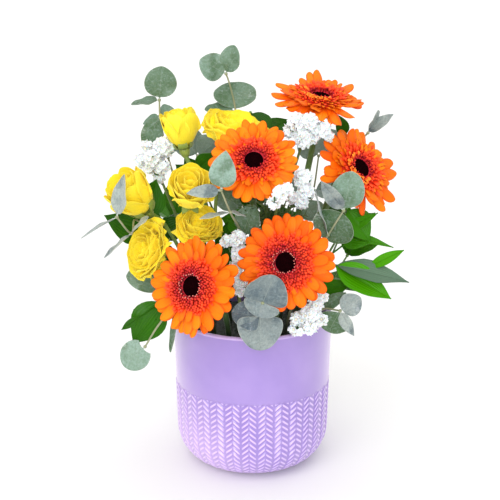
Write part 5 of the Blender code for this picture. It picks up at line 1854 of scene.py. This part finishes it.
# ---------------------------------------------------------------- operators and panel
class ARRANGEMENT_OT_pot(bpy.types.Operator):
    """Build the glazed pot and the foam inside it"""

    bl_idname = "arrangement.pot"
    bl_label = "Pot and Foam"

    def execute(self, context):
        build_pot(context.scene.pot_settings)
        build_foam()
        return {"FINISHED"}


class ARRANGEMENT_OT_gerberas(bpy.types.Operator):
    """Build the gerberas"""

    bl_idname = "arrangement.gerberas"
    bl_label = "Gerberas"

    def execute(self, context):
        build_gerberas(context.scene.gerbera_settings)
        return {"FINISHED"}


class ARRANGEMENT_OT_roses(bpy.types.Operator):
    """Build the roses"""

    bl_idname = "arrangement.roses"
    bl_label = "Roses"

    def execute(self, context):
        build_roses(context.scene.rose_settings)
        return {"FINISHED"}


class ARRANGEMENT_OT_statice(bpy.types.Operator):
    """Build the statice"""

    bl_idname = "arrangement.statice"
    bl_label = "Statice"

    def execute(self, context):
        build_statices(context.scene.statice_settings)
        return {"FINISHED"}


class ARRANGEMENT_OT_eucalyptus(bpy.types.Operator):
    """Build the eucalyptus sprigs"""

    bl_idname = "arrangement.eucalyptus"
    bl_label = "Eucalyptus"

    def execute(self, context):
        build_foliage(context.scene.foliage_settings, "eucalyptus")
        return {"FINISHED"}


class ARRANGEMENT_OT_ruscus(bpy.types.Operator):
    """Build the ruscus sprigs"""

    bl_idname = "arrangement.ruscus"
    bl_label = "Ruscus"

    def execute(self, context):
        build_foliage(context.scene.foliage_settings, "ruscus")
        return {"FINISHED"}


class ARRANGEMENT_OT_stage(bpy.types.Operator):
    """Build the floor, lights and camera"""

    bl_idname = "arrangement.stage"
    bl_label = "Stage"

    def execute(self, context):
        build_stage(context.scene.stage_settings)
        return {"FINISHED"}


OPERATORS = (
    ARRANGEMENT_OT_pot,
    ARRANGEMENT_OT_gerberas,
    ARRANGEMENT_OT_roses,
    ARRANGEMENT_OT_statice,
    ARRANGEMENT_OT_eucalyptus,
    ARRANGEMENT_OT_ruscus,
    ARRANGEMENT_OT_stage,
)

SETTINGS = {
    "pot_settings": PotSettings,
    "gerbera_settings": GerberaSettings,
    "rose_settings": RoseSettings,
    "statice_settings": StaticeSettings,
    "foliage_settings": FoliageSettings,
    "stage_settings": StageSettings,
}


class ARRANGEMENT_PT_panel(bpy.types.Panel):
    """Lists the operators and their settings"""

    bl_label = "Gerbera Arrangement"
    bl_idname = "ARRANGEMENT_PT_panel"
    bl_space_type = "VIEW_3D"
    bl_region_type = "UI"
    bl_category = "Arrangement"

    def draw(self, context):
        for operator in OPERATORS:
            self.layout.operator(operator.bl_idname)
        for name, kind in SETTINGS.items():
            box = self.layout.box()
            for prop in kind.__annotations__:
                box.prop(getattr(context.scene, name), prop)


def register():
    """Register the settings, operators and panel."""
    for kind in (*SETTINGS.values(), *OPERATORS, ARRANGEMENT_PT_panel):
        bpy.utils.register_class(kind)
    for name, kind in SETTINGS.items():
        setattr(bpy.types.Scene, name, bpy.props.PointerProperty(type=kind))


def unregister():
    """Undo register."""
    for name in SETTINGS:
        delattr(bpy.types.Scene, name)
    for kind in (ARRANGEMENT_PT_panel, *OPERATORS, *SETTINGS.values()):
        bpy.utils.unregister_class(kind)


def main():
    """Build every piece."""
    register()
    bpy.ops.arrangement.pot()
    bpy.ops.arrangement.gerberas()
    bpy.ops.arrangement.roses()
    bpy.ops.arrangement.statice()
    bpy.ops.arrangement.eucalyptus()
    bpy.ops.arrangement.ruscus()
    bpy.ops.arrangement.stage()
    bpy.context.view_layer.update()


if __name__ == "__main__":
    main()
